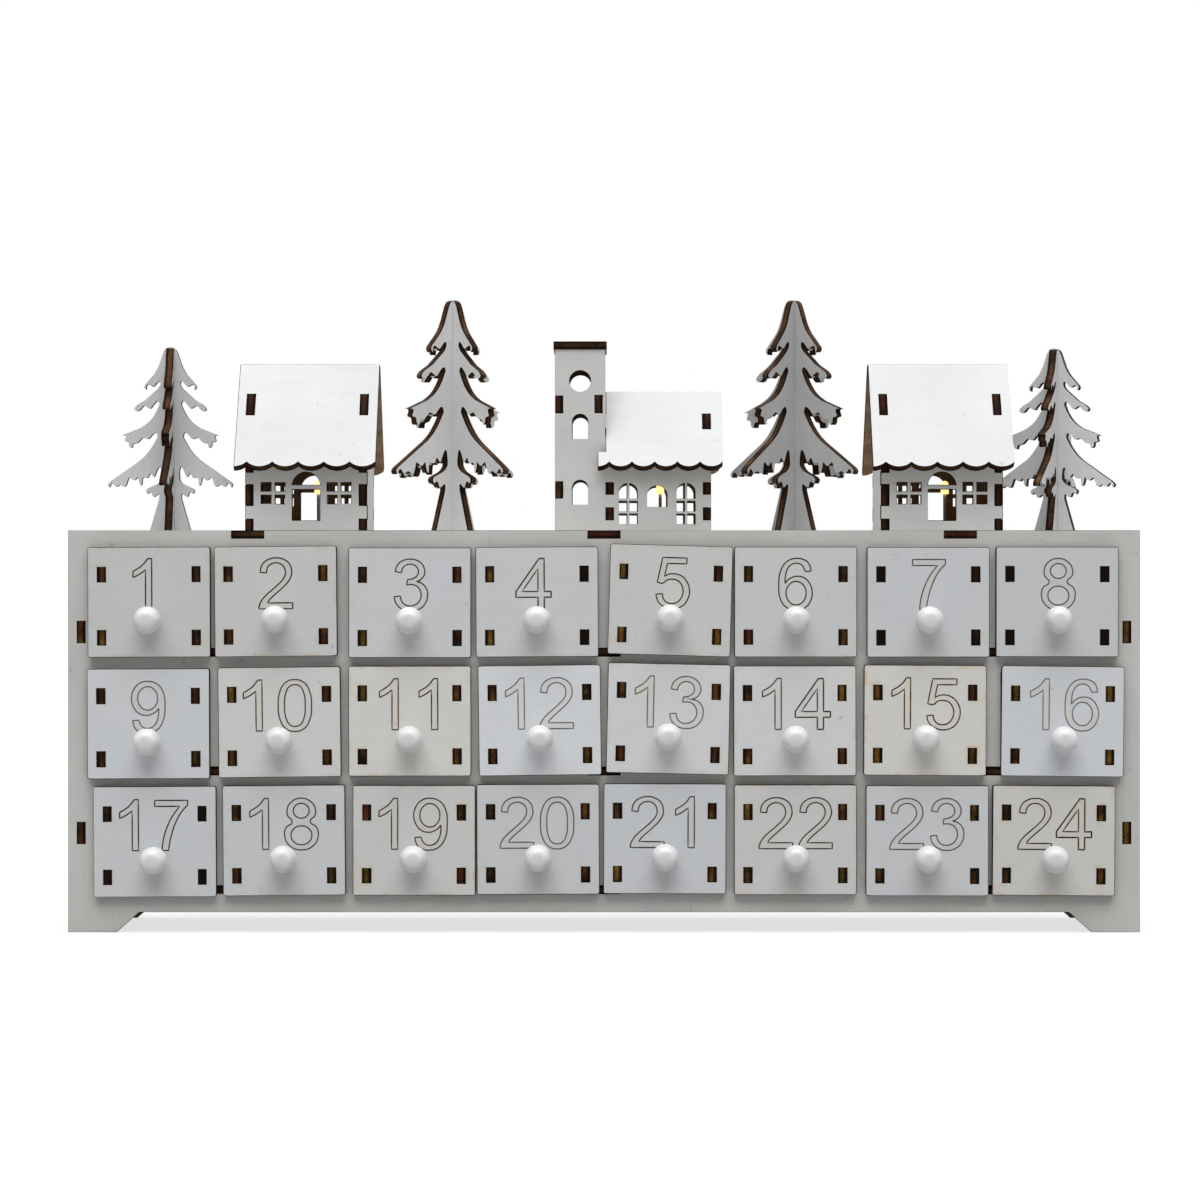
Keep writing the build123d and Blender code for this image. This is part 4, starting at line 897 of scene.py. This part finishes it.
def finished_front(plate, number, low, high):
    """Scores a front and paints it as its drawer's values say."""
    gridded(plate, low, high)
    outline = scored(plate, number, numeral_corner(number, low, high))
    hearts = hearts_of(plate.data)

    def finish_of(face, part, outward):
        if part == GROOVE:
            return "line"
        if outward is None:
            return "edge"
        if outward.y > 0:
            return "raw"
        return "stroke" if within(hearts[face.index], outline) else "paint"

    finishes = {"paint": FRONT, "stroke": STROKE, "line": LINE, "raw": RAW, "edge": FRONT_EDGE}
    dressed(plate, finishes, finish_of)
    points = plate.data.vertices
    middle = (low + high) / 2
    *_, warmth, pale, burn = SETTLING[number]
    # pale is mostly painted shade on the top and bottom rows, partly each front's own tone
    for name, value in (("warmth", warmth), ("pale", pale), ("burn", burn)):
        stored(plate.data, name, "FLOAT", [value] * len(points))
    stored(plate.data, "across", "FLOAT_VECTOR", [vertex.co - middle for vertex in points])


def finished_box(box, number, middle):
    """Leaves a drawer's box raw, with its cut edges charred on either side as CHARRED says."""
    finishes = {"raw": RAW, "edge": FRONT_EDGE}
    dressed(box, finishes, lambda face, part, outward: "edge" if outward is None else "raw")
    left, right = CHARRED.get(number, (0.0, 0.0))
    char = [right if vertex.co.x > middle.x else left for vertex in box.data.vertices]
    stored(box.data, "char", "FLOAT", char)


def drawer(number):
    """A drawer: the scored front, the raw box behind it and the turned knob."""
    node = "drawer_%02d" % number
    solids = [(place, *solid) for place, solid in enumerate(closed_solids(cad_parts[node].data))]
    plate = softened(shells("wood_" + node, solids[:1], GROOVE + 1), CUT_SOFTENING)
    box = softened(shells("box", solids[1:KNOB], KNOB), EDGE_SOFTENING)
    knob = softened(rounded_nose(shells("knob", solids[KNOB:], KNOB + 1)), EDGE_SOFTENING)
    low, high = corners_of([vertex.co for vertex in plate.data.vertices])
    middle = (low + high) / 2
    finished_front(plate, number, low, high)
    finished_box(box, number, middle)
    dressed(knob, {"knob": KNOB_PAINT}, lambda face, part, outward: "knob")

    right, up, roll, *_ = SETTLING[number]
    shift = Matrix.Translation(middle + Vector((right, 0, up)) * MM)
    turn = shift @ Matrix.Rotation(math.radians(roll), 4, "Y") @ Matrix.Translation(-middle)
    behind_front = high.y - EDGE_SOFTENING
    narrowed(plate, middle)
    narrowed(box, middle, behind_front)
    settled(plate, turn)
    settled(knob, turn)
    settled(box, turn, behind_front)

    only(plate)
    box.select_set(True)
    knob.select_set(True)
    bpy.ops.object.join()
    bpy.ops.object.shade_smooth_by_angle(angle=SMOOTH_ANGLE)
    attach(plate, node)
    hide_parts(node)


# The pieces
def room_of(*nodes):
    """The middle of the space that some nodes enclose."""
    low, high = corners_of([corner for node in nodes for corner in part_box(node)])
    return (low + high) / 2


def shown(node, finish):
    """A CAD node whose shape is right keeps it and takes a finish."""
    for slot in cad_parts[node].material_slots:
        slot.material = finish.material


def moulded(node, body, finish):
    """A moulded node as a piece with softened edges."""
    solids = [(0, *solid) for solid in closed_solids(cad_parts[node].data)]
    piece = softened(shells("moulded_" + node, solids, 1), MOULDED_SOFTENING)
    piece.data.materials[0] = finish.material
    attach(piece, body)
    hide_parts(node)


RAW = raw_ply("raw ply")
EDGE = scorched(
    "scorched edge", (0.006, 0.002, 0.0015, 1), (0.065, 0.020, 0.009, 1), (0.085, 0.045, 0.014, 1)
)
TREE_EDGE = scorched(
    "scorched tree edge", (0.012, 0.006, 0.003, 1), (0.12, 0.052, 0.025, 1), (0.14, 0.075, 0.033, 1)
)
FRONT_EDGE = scorched(
    "scorched front edge", (0.005, 0.002, 0.001, 1), (0.10, 0.034, 0.011, 1), (0.20, 0.11, 0.016, 1)
)
FRAME_PAINT = painted("frame paint", (0.59, 0.59, 0.57, 1), (0.53, 0.53, 0.51, 1), LEVEL_GRAIN, wear=0.3)
HOUSE_PAINT = painted("house paint", (0.69, 0.695, 0.68, 1), (0.63, 0.635, 0.62, 1), LEVEL_GRAIN)
CHURCH_PAINT = painted("church paint", (0.64, 0.645, 0.63, 1), (0.58, 0.585, 0.57, 1), LEVEL_GRAIN)
ROOF_PAINT = painted("roof paint", (0.73, 0.74, 0.75, 1), (0.68, 0.69, 0.69, 1), ROOF_GRAIN)
FRONT = drawer_paint("drawer paint", cream=0.0)
STROKE = drawer_paint("drawer paint in the strokes", cream=0.16)
LINE = scored_line("scored line")
KNOB_PAINT = knob_paint("knob paint")

view_and_light()
floor()

case_room = room_of("front_frame", "back_panel")
for node in ("front_frame", "back_panel", "top_panel"):
    wooden(node, FRAME_PAINT, case_room, width=EDGE_SOFTENING)
for node in ("left_side", "right_side"):
    wooden(node, FRAME_PAINT, case_room, FRONT_EDGE, EDGE_SOFTENING)
for node in ("drawer_shelves", "column_dividers"):
    wooden(node, RAW, width=EDGE_SOFTENING)
# Each tree takes its own copy of the white paint: painted light on the paler trees, painted shade on the
# darker ones
for node, tone in TREE_LIT_AND_SHADED_TONES.items():
    tree_paint_and_shade = painted(node + " paint", grey(tone), grey(tone * TREE_PATCHES), UPRIGHT_GRAIN)
    wooden(node, tree_paint_and_shade, cut=TREE_EDGE, flat_angle=FRET_ANGLE)
for house in ("left_house_", "right_house_"):
    house_room = room_of(house + "front_wall", house + "back_wall")
    for part in ("front_wall", "back_wall", "gables"):
        wooden(house + part, HOUSE_PAINT, house_room)
    for part in ("front_roof", "back_roof"):
        wooden(house + part, ROOF_PAINT, house_room)
church_room = room_of("church_front_wall", "church_back_wall")
for node in ("church_front_wall", "church_back_wall"):
    wooden(node, CHURCH_PAINT, church_room)
tower_room = room_of("tower_outer_wall", "tower_inner_wall")
for node in ("tower_outer_wall", "tower_inner_wall", "tower_cap"):
    wooden(node, CHURCH_PAINT, tower_room)
nave_room = room_of("nave_gables")
wooden("nave_gables", CHURCH_PAINT, nave_room)
for node in ("nave_front_roof", "nave_back_roof"):
    wooden(node, ROOF_PAINT, nave_room)

for number in SETTLING:
    drawer(number)

BOX_PLASTIC = plastic("box plastic", (0.76, 0.76, 0.74))
moulded("battery_box", "case", BOX_PLASTIC)
moulded("battery_lid", "battery_lid", BOX_PLASTIC)
moulded("switch_slider", "switch", plastic("switch plastic", (0.03, 0.03, 0.032)))
shown("battery_cells", cell_wrap("cell sleeve"))
shown("battery_contacts", steel("contact steel"))
shown("led_leads", insulation("lead insulation"))
shown("led_bulbs", bulb_glow("lit bulb"))

bpy.context.view_layer.update()
